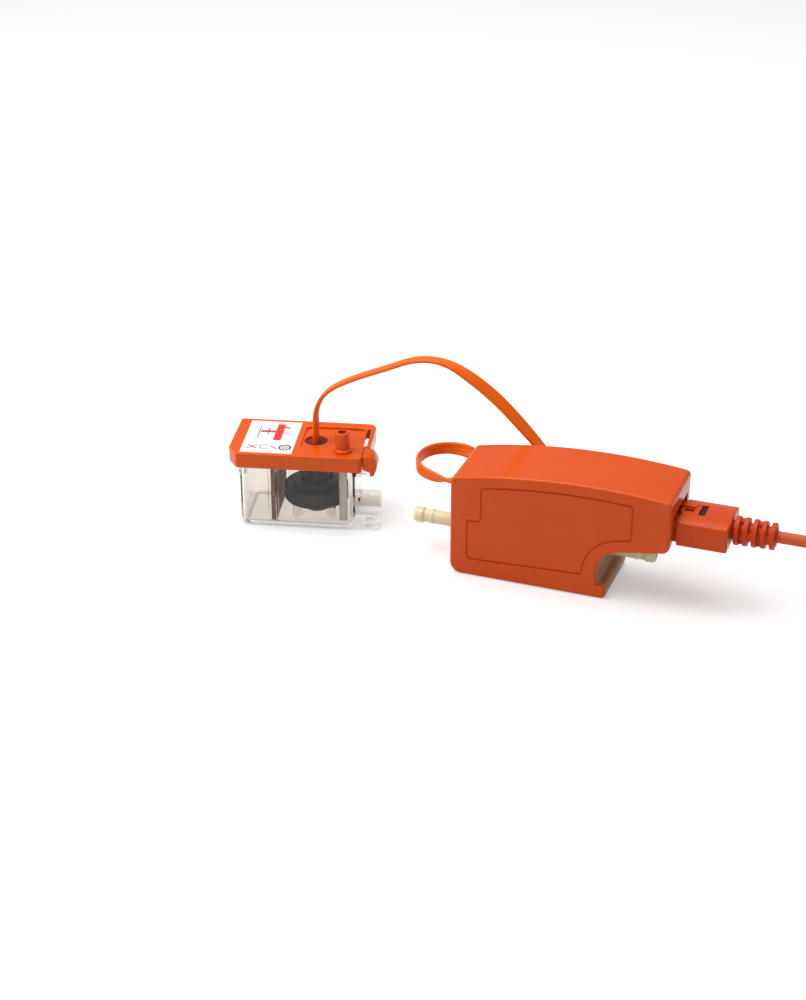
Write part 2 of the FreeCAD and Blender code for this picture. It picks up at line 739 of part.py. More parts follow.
def spring(name, x0, x1, radius, wire, turns):
    """A compression spring along the water's axis."""
    start = x0 + wire / 2 + 0.1
    length = x1 - x0 - wire - 0.2

    def place(s):
        angle = math.radians(s)
        x = start + length * s / (360 * turns)
        return V(x, radius * math.cos(angle), water_axis + radius * math.sin(angle))

    edges, (first, tangent), _ = along_curve(place, 0, 360 * turns, 90)
    solid, _ = swept(edges, wire / 2, first, tangent)
    print(f"{name}: least gap {least_gap(place, 0, 360 * turns, wire):.2f}")
    return solid


def piston_spring():
    return spring("piston_spring", piston_right, chamber_start, MAIN_SPRING_RADIUS, MAIN_SPRING_WIRE, 5)


def buffer_spring():
    return spring("buffer_spring", spigot_left_end, piston_left, MAIN_SPRING_RADIUS, MAIN_SPRING_WIRE, 4)


def outlet_valve_spring():
    reach = BALL_RADIUS + VALVE_SPRING_WIRE / 2 + 0.05
    start = ball_centre + math.sqrt(reach ** 2 - VALVE_SPRING_RADIUS ** 2) - VALVE_SPRING_WIRE / 2
    return spring("outlet_valve_spring", start, chamber_end, VALVE_SPRING_RADIUS, VALVE_SPRING_WIRE, 4)


def route_edges(points, name):
    """Straight runs joined by tangent arcs as large as the runs allow."""
    points = [V(*p) for p in points]
    edges = []
    radii = []
    here = points[0]
    for before, corner, after in zip(points, points[1:], points[2:]):
        reach = 0.45 * min((corner - before).Length, (after - corner).Length)
        turn = (corner - before).getAngle(after - corner)
        radius = reach / math.tan(turn / 2)
        first, middle, last = round_corner(before, corner, after, radius)
        edges.append(Part.makeLine(here, first))
        edges.append(Part.Arc(first, middle, last).toShape())
        radii.append(radius)
        here = last
    edges.append(Part.makeLine(here, points[-1]))
    print(f"{name}: bend radii {', '.join(f'{r:.0f}' for r in radii)}")
    return edges


def cord(points, diameter, name):
    edges = route_edges(points, name)
    start, second = V(*points[0]), V(*points[1])
    solid, length = swept(edges, diameter / 2, start, unit(second - start))
    share = solid.Volume / (math.pi * diameter ** 2 / 4 * length)
    print(f"{name}: length {length:.1f}, volume over section times length {share:.4f}")
    return solid


# Electronics

def circuit_board():
    left = left_end + HOUSING_WALL + 4
    across = inner_depth - FIT
    board = plan_slab(rectangle(left, BOARD_RIGHT, -across, across, 1.0), BOARD_HEIGHT, board_top)
    for x, y in coil_pin_places():
        board = board.cut(rod_z(0, 60, 0.65, x, y))
    for y in pin_offsets():
        board = board.cut(rod_z(0, 60, PIN_RADIUS + 0.15, BOARD_RIGHT - 2.5, y))
    return board


def relay():
    can = plan_slab(rectangle(-34, -15, -14, 1.5, 0.8), board_top, board_top + 10.5)
    return can.makeFillet(0.6, [e for e in can.Edges if e.CenterOfMass.z > board_top + 10.4])


def suppression_capacitor():
    return plan_slab(rectangle(-10, 8, -14, -7, 1.0), board_top, board_top + 12.0)


def smoothing_capacitor():
    """An electrolytic can that lies along the board, with the rolled groove near its base."""
    radius = 4.5
    x0, x1 = -9.0, 9.0
    z = board_top + radius + 0.1
    return turned_x([
        (x0, 0), (x0, radius - 0.6), (x0 + 0.6, radius), (x0 + 2.4, radius), (x0 + 2.9, radius - 0.5),
        (x0 + 3.4, radius), (x1 - 0.4, radius), (x1, radius - 0.4), (x1, 0)], 6.5, z)


def fuse_link():
    """A ceramic fuse with its two caps, standing on its clips."""
    radius = 2.6
    x0, x1 = -36.0, -16.0
    y = 9.0
    z = board_top + radius + 1.0
    body = fuse(
        rod_x(x0, x1, radius - 0.3, y, z), rod_x(x0, x0 + 5, radius, y, z), rod_x(x1 - 5, x1, radius, y, z))
    clips = [box(x, x + 3, y - 2, y + 2, board_top, z - 1) for x in (x0 + 1, x1 - 4)]
    return fuse(body, *clips)


def sensor_connector():
    """The board connector that the sensor cable ends in."""
    y, z = RIBBON_ENTRY
    left = left_end + HOUSING_WALL + 4
    half = RIBBON_WIDTH / 2 + 0.8
    return plan_slab(rectangle(left, left + 6, y - half, y + half, 0.6), board_top, z + RIBBON_THICKNESS / 2 + 1.2)


def pin_offsets():
    return [(i - 1.5) * PIN_PITCH for i in range(4)]


def mains_socket():
    """A four-way shrouded header: the plug's nose goes into it and a shelf carries it on the board."""
    half = NOSE_WIDTH / 2 + FIT
    low = nose_bottom - FIT
    high = nose_bottom + NOSE_HEIGHT + FIT
    right = right_end - HOUSING_WALL - FIT
    wall = SOCKET_WALL
    shroud = end_slab(rectangle(-half - wall, half + wall, low - wall + 0.4, high + wall, 1.0), socket_left, right)
    shroud = shroud.cut(box(socket_left + wall, right + 1, -half, half, low, high))
    shelf = box(BOARD_RIGHT - 5, socket_left + 0.5, -half - wall, half + wall, board_top, board_top + 3.6)
    header = fuse(shroud, shelf)
    for y in pin_offsets():
        header = header.cut(rod_x(BOARD_RIGHT - 6, socket_left + 4, PIN_RADIUS + 0.1, y, pin_height))
        header = header.cut(rod_z(0, pin_height, PIN_RADIUS + 0.1, BOARD_RIGHT - 2.5, y))
    return header


def socket_pins():
    """Four round pins, bent down through the board behind the socket."""
    pins = []
    bend = BOARD_RIGHT - 2.5
    for y in pin_offsets():
        along = rod_x(bend, right_end - HOUSING_WALL - 3, PIN_RADIUS, y, pin_height)
        down = rod_z(BOARD_HEIGHT - 1.5, pin_height, PIN_RADIUS, bend, y)
        elbow = Part.makeSphere(PIN_RADIUS, V(bend, y, pin_height))
        pins.append(fuse(along, down, elbow))
    return pins


def gland_outline(grown=0.0):
    """The slot that the sensor cable's gland fills, seen along X."""
    y, z = RIBBON_ENTRY
    half_y = RIBBON_WIDTH / 2 + 1.0 + grown
    half_z = RIBBON_THICKNESS / 2 + 1.0 + grown
    return rectangle(y - half_y, y + half_y, z - half_z, z + half_z, half_z - 0.1)


def cable_gland():
    """A soft sleeve in the left end wall, round the flat cable."""
    y, z = RIBBON_ENTRY
    sleeve = end_slab(gland_outline(), left_end - 0.9, left_end + HOUSING_WALL + 1)
    collar = end_slab(gland_outline(0.9), left_end - 0.9, left_end - 0.05)
    half_y = RIBBON_WIDTH / 2 + 0.1
    half_z = RIBBON_THICKNESS / 2 + 0.1
    slot = box(left_end - 2, left_end + 6, y - half_y, y + half_y, z - half_z, z + half_z)
    return fuse(sleeve, collar).cut(slot)


# Mains plug and lead

latch_left = -3.0
latch_right = latch_left + LATCH_WIDTH
latch_pivot = plug_front - 0.9 + LATCH_LENGTH


def plug_body():
    """The moulded plug with its crowned top and the nose that enters the socket."""
    half = PLUG_WIDTH / 2
    crown = circle_through(
        (-half, PLUG_EDGE_HEIGHT), (0.0, PLUG_CROWN_HEIGHT), (half, PLUG_EDGE_HEIGHT))
    outline = roofed_face([(-half, PLUG_BOTTOM, 1.5), (half, PLUG_BOTTOM, 1.5)], crown, 0, (1.5, 1.5), on_end)
    body = outline.extrude(V(PLUG_LENGTH, 0, 0))
    body.translate(V(plug_front, 0, 0))
    rims = [e for e in body.Edges if abs(e.CenterOfMass.x - plug_back) < 1e-6]
    body = body.makeFillet(1.0, rims)
    nose = end_slab(
        rectangle(-NOSE_WIDTH / 2, NOSE_WIDTH / 2, nose_bottom, nose_bottom + NOSE_HEIGHT, 0.8),
        nose_front, plug_front + 1)
    body = fuse(body, nose)
    pocket = box(plug_front - 3, latch_pivot + 0.2, latch_left - 0.3, latch_right + 0.3, PLUG_EDGE_HEIGHT - 1.6, 60)
    body = body.cut(pocket)
    window = box(latch_pivot + 1, latch_pivot + 4, latch_left - 1.6, latch_right + 0.8, PLUG_EDGE_HEIGHT + 0.6, 60)
    body = body.cut(window)
    for y in pin_offsets():
        body = body.cut(rod_x(nose_front - 1, plug_front + 2, PIN_RADIUS + 0.6, y, pin_height))
    return body


def plug_latch():
    """A springy tongue with a raised bar and a slot, hinged at its right end and pressed to free the plug."""
    start = plug_front - 0.9
    low = PLUG_EDGE_HEIGHT - 0.3
    plate = box(start, latch_pivot, latch_left, latch_right, low, low + 1.5)
    barrel = rod_y(latch_left, latch_right, 0.75, latch_pivot - 0.75, low + 0.75)
    bar = side_slab([
        (start, low + 1), (latch_pivot - 0.6, low + 1), (latch_pivot - 1.6, low + 2.4, 0.6),
        (start, low + 2.4, 0.6)], latch_right - 3.5, latch_right)
    slot = box(start + 1.6, latch_pivot - 1.6, latch_left + 1.4, latch_left + 3.6, low - 1, low + 3)
    return fuse(plate.cut(slot), barrel, bar)


def plug_contacts():
    """Four spring sleeves in the nose, round the socket's pins."""
    return [
        ring_x(nose_front + 0.5, plug_front + 1.5, PIN_RADIUS + 0.45, PIN_RADIUS + 0.1, y, pin_height)
        for y in pin_offsets()]


def relief_bumps():
    """Where the strain relief's rings stand, and how wide each is."""
    bumps = []
    for i in range(RELIEF_RINGS):
        x = plug_back + 2.2 + i * RELIEF_PITCH
        bumps.append((x, RELIEF_RING_RADIUS - 0.13 * i))
    return bumps


def plug_strain_relief():
    """Rings on a slim core, joined by webs that stand upright and flat in turn, so that it bends every way."""
    z = RELIEF_HEIGHT
    bumps = relief_bumps()
    bore = LEAD_DIAMETER / 2 + 0.05
    core = ring_x(plug_back, relief_end, RELIEF_CORE_RADIUS, bore, 0, z)
    root = (bore + RELIEF_CORE_RADIUS) / 2
    half = RELIEF_RING_THICKNESS / 2
    pieces = []
    for x, radius in bumps:
        pieces.append(turned_x([
            (x - half, root), (x + half, root), (x + half, radius, 0.5), (x - half, radius, 0.5)], 0, z))
    for i, ((x0, r0), (x1, _)) in enumerate(zip(bumps, bumps[1:])):
        for side in (-1, 1):
            inner, outer = sorted((side * root, side * (r0 - 0.8)))
            if i % 2 == 0:
                pieces.append(box(x0, x1, -1.6, 1.6, z + inner, z + outer))
            else:
                pieces.append(box(x0, x1, inner, outer, z - 1.6, z + 1.6))
    return fuse(core, *pieces)


lead_layer = LEAD_DIAMETER / 2 + COIL_FLOOR_GAP


def coil_place(s):
    """A point of the put-away coil. It spirals in below, climbs one layer round s = 0 and spirals out above."""
    radius = COIL_INNER_RADIUS + COIL_PITCH * math.sqrt(s * s + 900) / 360
    climb = min(max((s + 90) / 180, 0), 1)
    climb = climb * climb * (3 - 2 * climb)
    angle = math.radians(COIL_ENTRY_ANGLE - s)
    x, y = COIL_CENTRE
    return V(x + radius * math.cos(angle), y + radius * math.sin(angle), lead_layer + COIL_PITCH * climb)


def mains_cable_coil():
    """The length that is put away: two layers, one unbroken cable."""
    span = 360 * COIL_TURNS
    edges, (first, leaving), (last, arriving) = along_curve(coil_place, -span, span, 90)
    start = first - leaving * LEAD_DIAMETER
    edges = [Part.makeLine(start, first)] + edges
    edges.append(Part.makeLine(last, last + arriving * LEAD_DIAMETER))
    solid, length = swept(edges, LEAD_DIAMETER / 2, start, leaving)
    gap = least_gap(coil_place, -span, span, LEAD_DIAMETER)
    share = solid.Volume / (math.pi * LEAD_DIAMETER ** 2 / 4 * length)
    print(f"mains_cable_coil: length {length:.0f}, least gap {gap:.2f}, volume share {share:.4f}")
    return solid


def coil_end(s, outward):
    """The end face of the coil's tube at one of its ends: a point and the direction out of the coil."""
    along = unit(coil_place(s + 0.5) - coil_place(s - 0.5)) * outward
    return coil_place(s) + along * LEAD_DIAMETER, along


def mains_cable_points():
    """From the strain relief, drooping to the floor, to the coil."""
    end, out = coil_end(-360 * COIL_TURNS, -1)
    return [
        (plug_back + 1.0, 0.0, RELIEF_HEIGHT),
        (relief_end + 12.5, 0.0, RELIEF_HEIGHT),
        (121.5, 2.0, 35.9),
        (132.5, 6.4, 31.6),
        (140.8, 9.8, 24.8),
        (148.6, 13.0, 16.8),
        (156.5, 16.1, 9.1),
        tuple(end + out * 13.0),
        tuple(end),
    ]


def mains_tail_points():
    """From the coil's outer turn up and over its top turns."""
    start, out = coil_end(360 * COIL_TURNS, 1)
    points = [tuple(start), tuple(start + out * 10.1)]
    x, y = COIL_CENTRE
    for angle, radius, z in TAIL_POINTS:
        a = math.radians(angle)
        points.append((x + radius * math.cos(a), y + radius * math.sin(a), z))
    return points


def tail_end():
    points = mains_tail_points()
    p, q = V(*points[-2]), V(*points[-1])
    return q, unit(q - p)


def core_routes():
    """Four cores that fan out of the cable's end."""
    end, along = tail_end()
    side = unit(along.cross(V(0, 0, 1)))
    upwards = side.cross(along)
    routes = []
    for across, up, fan in ((-1.2, 1.0, -2.1), (-0.9, -1.0, -0.8), (0.9, -1.0, 0.8), (1.2, 1.0, 2.1)):
        start = end + side * across + upwards * up
        spread = side * fan
        routes.append([
            start, start + along * (CORE_LENGTH * 0.3),
            start + along * (CORE_LENGTH * 0.65) + spread * 0.8 - V(0, 0, 0.3 + 0.3 * up),
            start + along * CORE_LENGTH + spread * 2.2 - V(0, 0, 0.5 + 0.6 * up)])
    return routes


def core_ends():
    return [cord([tuple(p) for p in route], CORE_DIAMETER, "core") for route in core_routes()]


def core_ferrules():
    """Crimped sleeves, each with its collar, on the ends of the cores."""
    ferrules = []
    for route in core_routes():
        along = unit(route[-1] - route[-2])
        start = route[-1] + along * FIT
        collar = Part.makeCylinder(1.3, 2.5, start, along)
        sleeve = Part.makeCylinder(0.75, FERRULE_LENGTH - 2, start + along * 2, along)
        ferrules.append(fuse(collar, sleeve))
    return ferrules


def coil_tie():
    """A strap round the bundle, on the side of the coil away from its two ends."""
    turn = COIL_TURNS - 0.5
    inner = COIL_INNER_RADIUS + COIL_PITCH * 0.5 - LEAD_DIAMETER / 2 - 0.5
    outer = COIL_INNER_RADIUS + COIL_PITCH * turn + LEAD_DIAMETER / 2 + 0.5
    low = COIL_FLOOR_GAP - 0.25
    high = lead_layer + COIL_PITCH + LEAD_DIAMETER / 2 + 0.25
    strap = 0.6
    loop = side_slab(rectangle(inner - strap, outer + strap, low - strap, high + strap, 2.4), -2.5, 2.5)
    loop = loop.cut(side_slab(rectangle(inner, outer, low, high, 1.8), -3, 3))
    head = box(outer + strap - 0.1, outer + strap + 1.6, -3.2, 3.2, low + 3, low + 7)
    tie = fuse(loop, head)
    tie.rotate(V(0, 0, 0), V(0, 0, 1), COIL_ENTRY_ANGLE - 180)
    tie.translate(V(COIL_CENTRE[0], COIL_CENTRE[1], 0))
    return tie


# Reservoir

def in_reservoir(shape):
    """Puts a piece from the reservoir's own frame in its place beside the pump."""
    shape.rotate(V(0, 0, 0), V(0, 0, 1), RESERVOIR_TURN)
    shape.translate(V(RESERVOIR_PLACE[0], RESERVOIR_PLACE[1], 0))
    return shape


def reservoir_point(u, v, z):
    a = math.radians(RESERVOIR_TURN)
    x = RESERVOIR_PLACE[0] + u * math.cos(a) - v * math.sin(a)
    y = RESERVOIR_PLACE[1] + u * math.sin(a) + v * math.cos(a)
    return V(x, y, z)


def tub_plan(grown):
    """The tub's plan outline, made larger or, with a negative value, smaller."""
    return rectangle(
        TUB_LEFT - grown, tub_right + grown, TUB_FRONT - grown, tub_back + grown, TUB_CORNER + grown)


def low_edges(solid, z):
    return [e for e in solid.Edges if abs(e.BoundBox.ZMin - z) < 1e-6 and abs(e.BoundBox.ZMax - z) < 1e-6]


def reservoir_tub():
    """The clear tub with its inlet, foot, clip ledge, screen guides and the ribs that the float rests on."""
    outside = plan_slab(tub_plan(0), 0, tub_height)
    outside = outside.makeFillet(TUB_BASE_ROUND, low_edges(outside, 0))
    inside = plan_slab(tub_plan(-TUB_WALL), TUB_FLOOR, tub_height + 1)
    inside = inside.makeFillet(TUB_BASE_ROUND - TUB_WALL, low_edges(inside, TUB_FLOOR))
    middle = TUB_FRONT + TUB_DEPTH / 2
    added = [rod_x(tub_right - 1, tub_right + INLET_LENGTH, INLET_RADIUS, middle, INLET_HEIGHT)]
    foot = plan_slab([
        (tub_right - 4, TUB_FRONT + 2), (tub_right + 12.1, TUB_FRONT + 2, 3), (tub_right + 12.1, 16, 3),
        (tub_right - 4, 16)], 0, 3)
    added.append(foot)
    added.append(box(tub_right - 1, tub_right + 6.6, TUB_FRONT + 1, TUB_FRONT + 11, 29, 31))
    added.append(box(TUB_LEFT - 2.4, TUB_LEFT + 1, middle - 5, middle + 5, 22, 28))
    tub = fuse(outside, *added).cut(inside)
    tub = tub.cut(rod_x(tub_right - TUB_WALL - 2, tub_right + 20, INLET_BORE_RADIUS, middle, INLET_HEIGHT))
    tub = tub.cut(rod_z(-1, 5, 2.2, tub_right + 6.4, 9.0))
    ribs = []
    for u in (screen_left - FIT - 1.2, screen_right + FIT):
        for v0 in (TUB_FRONT + TUB_WALL - 0.4, tub_back - TUB_WALL - 1.4):
            ribs.append(box(u, u + 1.2, v0, v0 + 1.8, TUB_FLOOR + 1, SCREEN_HEIGHT + TUB_FLOOR))
    u, v = stem_place
    for i in range(4):
        rib = box(STEM_RADIUS + 2, FLOAT_RADIUS - 1.5, -0.7, 0.7, TUB_FLOOR - 0.5, FLOAT_REST - FIT)
        rib.rotate(V(0, 0, 0), V(0, 0, 1), 45 + 90 * i)
        rib.translate(V(u, v, 0))
        ribs.append(rib)
    return fuse(tub, *ribs)


def filter_screen():
    """A frame with a fine grid that keeps dirt from the float."""
    v0 = TUB_FRONT + TUB_WALL + FIT
    v1 = tub_back - TUB_WALL - FIT
    z0 = TUB_FLOOR + FIT
    z1 = TUB_FLOOR + SCREEN_HEIGHT
    frame = end_slab(
        [(v0, z0, 1.9), (v1, z0, 1.9), (v1, z1, 1.0), (v0, z1, 1.0)], screen_left, screen_right)
    columns, rows = 7, 6
    hole_v = (v1 - v0 - 4) / columns
    hole_z = (z1 - z0 - 4) / rows
    holes = []
    for i in range(columns):
        for j in range(rows):
            v = v0 + 2 + i * hole_v
            z = z0 + 2 + j * hole_z
            holes.append(box(0, 40, v + 0.5, v + hole_v - 0.5, z + 0.5, z + hole_z - 0.5))
    return frame.cut(Part.makeCompound(holes))


def lid_plan(inset):
    """The lid's plan outline: one cut corner, and a step at the right for the clip."""
    shelf = lid_right + CLIP_SHELF
    lid_back = tub_back + LID_BACK_OVERHANG
    corners = [
        (TUB_LEFT - 0.6, 0.0), (lid_right, 0.0), (lid_right, 13.6), (shelf, 13.6), (shelf, lid_back),
        (TUB_LEFT - 4.8, lid_back), (TUB_LEFT - 5.3, 7.5)]
    radii = [2.0, 2.0, 0.6, 1.0, 4.0, 2.0, 2.0]
    points = [V(a, b, 0) for a, b in corners]
    count = len(points)
    moved = []
    for i in range(count):
        before, here, after = points[i - 1], points[i], points[(i + 1) % count]
        d = unit(here - before)
        e = unit(after - here)
        p = here + V(-d.y, d.x, 0) * inset
        q = here + V(-e.y, e.x, 0) * inset
        bend = d.x * e.y - d.y * e.x
        step = ((q.x - p.x) * e.y - (q.y - p.y) * e.x) / bend
        corner = p + d * step
        moved.append((corner.x, corner.y, max(radii[i] - math.copysign(inset, bend), 0.3)))
    return moved


def reservoir_lid():
    """The lid with its skirt, the rib that finds the tub's rim, the suction spout and the slot and recess."""
    skirt_bottom = RESERVOIR_HEIGHT - LID_SKIRT
    block = plan_slab(lid_plan(0), skirt_bottom, RESERVOIR_HEIGHT)
    top = [e for e in block.Edges if e.BoundBox.ZMin > RESERVOIR_HEIGHT - 1e-6]
    block = block.makeFillet(0.5, top)
    hollow = plan_slab(lid_plan(LID_WALL), skirt_bottom - 1, lid_underside)
    rib = plan_slab(tub_plan(FIT + 1.2), skirt_bottom + 1.5, lid_underside + 0.5).common(
        plan_slab(lid_plan(0.3), skirt_bottom, RESERVOIR_HEIGHT))
    rib = rib.cut(plan_slab(tub_plan(FIT), 0, RESERVOIR_HEIGHT + 1))
    u, v = spout_place
    spout = turned_z([
        (SPOUT_BORE_RADIUS - 0.5, lid_underside), (SPOUT_RADIUS + 1.2, lid_underside),
        (SPOUT_RADIUS + 1.2, RESERVOIR_HEIGHT + 1), (SPOUT_RADIUS, RESERVOIR_HEIGHT + 1.6),
        (SPOUT_RADIUS, SPOUT_TOP, 0.6), (SPOUT_BORE_RADIUS - 0.5, SPOUT_TOP)], u, v)
    u0 = stem_place[0] - STEM_RADIUS
    recess = plan_slab(rectangle(u0, lid_right - 1.7, 9.0, 34.0, 3.0), RESERVOIR_HEIGHT - 0.8, RESERVOIR_HEIGHT + 1)
    lid = fuse(block.cut(hollow).cut(recess), rib, spout)
    lid = lid.cut(rod_z(0, SPOUT_TOP + 1, SPOUT_BORE_RADIUS, u, v))
    lid = lid.cut(rod_z(0, RESERVOIR_HEIGHT + 1, STEM_BORE_RADIUS, *stem_place))
    return lid.cut(box(lid_right - 0.9, lid_right + 0.9, 15.0, 33.5, skirt_bottom - 1, RESERVOIR_HEIGHT + 1))


def lid_clip():
    """A curved strip that hangs beside the lid and snaps over the tub's ledge."""
    u = lid_right + FIT
    z = RESERVOIR_HEIGHT
    outer = [(u, z, 0.4), (u + 4.6, z, 3.6), (u + 7.5, z - 5.2, 4.0), (u + 5.4, z - 10.4, 0.5)]
    inner = [(u + 3.5, z - 10.4, 0.5), (u + 5.4, z - 5.0, 3.0), (u + 3.6, z - 2.1, 2.0), (u, z - 2.1, 0.4)]
    return side_slab(outer + inner, TUB_FRONT + 0.8, TUB_FRONT + 10.8)


def float_body():
    """The black float: a ring with a shallow waist."""
    low, high = FLOAT_REST, FLOAT_REST + FLOAT_HEIGHT
    middle = (low + high) / 2
    return turned_z([
        (FLOAT_BORE_RADIUS, low), (FLOAT_RADIUS, low, 1.2), (FLOAT_RADIUS, middle - 0.8),
        (FLOAT_RADIUS - 0.4, middle - 0.4), (FLOAT_RADIUS - 0.4, middle + 0.4), (FLOAT_RADIUS, middle + 0.8),
        (FLOAT_RADIUS, high, 1.2), (FLOAT_BORE_RADIUS, high)], *stem_place)


def float_magnet():
    """The magnet ring that is glued on the float and works the switches in the stem."""
    low = FLOAT_REST + FLOAT_HEIGHT
    return turned_z([
        (MAGNET_INNER_RADIUS, low), (MAGNET_OUTER_RADIUS, low), (MAGNET_OUTER_RADIUS, low + MAGNET_HEIGHT, 0.5),
        (MAGNET_INNER_RADIUS, low + MAGNET_HEIGHT)], *stem_place)


def sensor_stem():
    """The closed tube that the float slides on, and the collar that holds it under the lid."""
    tube = turned_z([
        (0, STEM_BOTTOM), (STEM_RADIUS, STEM_BOTTOM, 1.0), (STEM_RADIUS, lid_underside),
        (STEM_BORE_RADIUS, lid_underside), (STEM_BORE_RADIUS, STEM_BOTTOM + 1.2),
        (0, STEM_BOTTOM + 1.2)], *stem_place)
    collar = ring_z(lid_underside - 1.6, lid_underside, STEM_RADIUS + 2, STEM_RADIUS, *stem_place)
    return Part.makeCompound([tube, collar])


board_end = RESERVOIR_HEIGHT - 5.4


def sensor_board():
    """The narrow board in the stem that carries the reed switches."""
    u, v = stem_place
    board = box(u - 4, u + 4, v - 0.6, v + 0.6, STEM_BOTTOM + 1.4, board_end)
    switches = [box(u - 2.5, u + 2.5, v - 2.4, v - 0.5, z, z + 2.4) for z in (10.0, 16.0, 22.0)]
    return fuse(board, *switches)


def stem_seal():
    """The soft plug in the lid's hole, split for the flat cable."""
    u, v = stem_place
    plug = rod_z(board_end + 0.5, RESERVOIR_HEIGHT - 1.6, STEM_BORE_RADIUS - 0.1, u, v)
    slot = Part.makeBox(
        RIBBON_WIDTH + 0.2, RIBBON_THICKNESS + 0.2, 20,
        V(-RIBBON_WIDTH / 2 - 0.1, -RIBBON_THICKNESS / 2 - 0.1, board_end))
    slot.rotate(V(0, 0, 0), V(0, 0, 1), arch_heading() + 90 - RESERVOIR_TURN)
    slot.translate(V(u, v, 0))
    return plug.cut(slot)


def pickup_tube():
    u, v = spout_place
    return ring_z(3.0, SPOUT_TOP - 4, SPOUT_BORE_RADIUS - 0.1, 1.3, u, v)


# Sensor cable

ARCH_END = (-23.7, 26.0)
# Share of the way from the stem to ARCH_END, and height
ARCH_POINTS = [
    (0.0, board_end), (0.0, 46.0), (0.002, 57.0), (0.054, 67.0), (0.181, 75.0), (0.322, 81.5), (0.454, 88.3),
    (0.585, 88.6), (0.708, 81.3), (0.826, 71.3), (0.928, 59.8), (1.025, 48.2)]
# Points behind the pump, each with its width's direction
BACK_POINTS = [
    ((-10.5, 26.0, 36.0), (0, 1, 0)), ((0.5, 26.0, 24.5), (0, 1, 0)), ((8.0, 26.0, 12.5), (0, 1, 0)),
    ((0.5, 26.0, 3.4), (0, 1, 0)), ((-14.0, 26.0, 2.4), (0, 1, 0)), ((-27.0, 26.0, 9.6), (0, 1, 0)),
    ((-37.0, 26.0, 21.5), (0, 1, 0)), ((-45.0, 25.5, 34.0), (0, 1, 0.1))]
LOOP_POINTS = [
    ((-55.5, 26.0, 41.2), (0, 0.75, 0.65)), ((-68.0, 27.5, 41.4), (0, 0, 1)), ((-77.0, 21.0, 41.2), (0, 0, 1)),
    ((-79.0, 10.0, 40.8), (0, 0, 1)), ((-74.0, 0.5, 40.4), (0, 0, 1)), ((-64.5, -3.5, 40.0), (0, -0.3, 0.95))]


def arch_heading():
    """Direction of the arch's plane, in degrees from +X."""
    u, v = stem_place
    start = reservoir_point(u, v, 0)
    return math.degrees(math.atan2(ARCH_END[1] - start.y, ARCH_END[0] - start.x))


def ribbon_route():
    """The whole flat cable from the sensor board to the connector: points and directions of its width."""
    start = reservoir_point(*stem_place, 0)
    heading = math.radians(arch_heading())
    span = math.hypot(ARCH_END[0] - start.x, ARCH_END[1] - start.y)
    across = V(-math.sin(heading), math.cos(heading), 0)
    route = []
    for share, z in ARCH_POINTS:
        s = share * span
        route.append((V(start.x + s * math.cos(heading), start.y + s * math.sin(heading), z), across))
    route += [(V(*p), V(*w)) for p, w in BACK_POINTS + LOOP_POINTS]
    y, z = RIBBON_ENTRY
    route.append((V(left_end - 4.0, y, z), V(0, -1, 0)))
    route.append((V(left_end + HOUSING_WALL + 4, y, z), V(0, -1, 0)))
    return route


def ribbon_stations():
    """Sections along the cable: (place on the route, point, tangent, width direction)."""
    route = ribbon_route()
    stations = []
    radii = []

    def add(place, point, tangent):
        i = min(int(place), len(route) - 2)
        share = place - i
        wide = route[i][1] * (1 - share) + route[i + 1][1] * share
        wide = unit(wide - tangent * wide.dot(tangent))
        stations.append((place, point, tangent, wide))

    add(0.0, route[0][0], unit(route[1][0] - route[0][0]))
    for i in range(1, len(route) - 1):
        before, corner, after = route[i - 1][0], route[i][0], route[i + 1][0]
        back_run = corner - before
        next_run = after - corner
        turn = back_run.getAngle(next_run)
        reach = 0.45 * min(back_run.Length, next_run.Length)
        first_place = i - reach / back_run.Length
        last_place = i + reach / next_run.Length
        if first_place - stations[-1][0] > 0.3:
            place = (first_place + stations[-1][0]) / 2
            add(place, before + back_run * (place - i + 1), unit(back_run))
        if turn < 1e-4:
            add(float(i), corner, unit(next_run))
            continue
        radius = reach / math.tan(turn / 2)
        radii.append(radius)
        axis = unit(back_run.cross(next_run))
        centre = corner + unit(unit(next_run) - unit(back_run)) * (radius / math.cos(turn / 2))
        arm = corner - unit(back_run) * reach - centre
        steps = max(2, math.ceil(math.degrees(turn) / 12))
        for k in range(steps + 1):
            turned = FreeCAD.Rotation(axis, math.degrees(turn) * k / steps)
            place = first_place + (last_place - first_place) * k / steps
            add(place, centre + turned.multVec(arm), turned.multVec(unit(back_run)))
    add(len(route) - 1.0, route[-1][0], unit(route[-1][0] - route[-2][0]))
    print(f"sensor cable: bend radii {', '.join(f'{r:.0f}' for r in radii)}")
    return stations


def ribbon(stations, name):
    """A flat cable through its sections."""
    wires = []
    for _, point, tangent, wide in stations:
        thin = unit(tangent.cross(wide)) * (RIBBON_THICKNESS / 2)
        half = wide * (RIBBON_WIDTH / 2)
        corners = [point + half + thin, point - half + thin, point - half - thin, point + half - thin]
        wires.append(Part.makePolygon(corners + corners[:1]))
    solid = Part.makeLoft(wires, True, True)
    length = sum((q[1] - p[1]).Length for p, q in zip(stations, stations[1:]))
    share = solid.Volume / (RIBBON_WIDTH * RIBBON_THICKNESS * length)
    print(f"{name}: length {length:.1f}, volume over section times length {share:.4f}")
    return solid


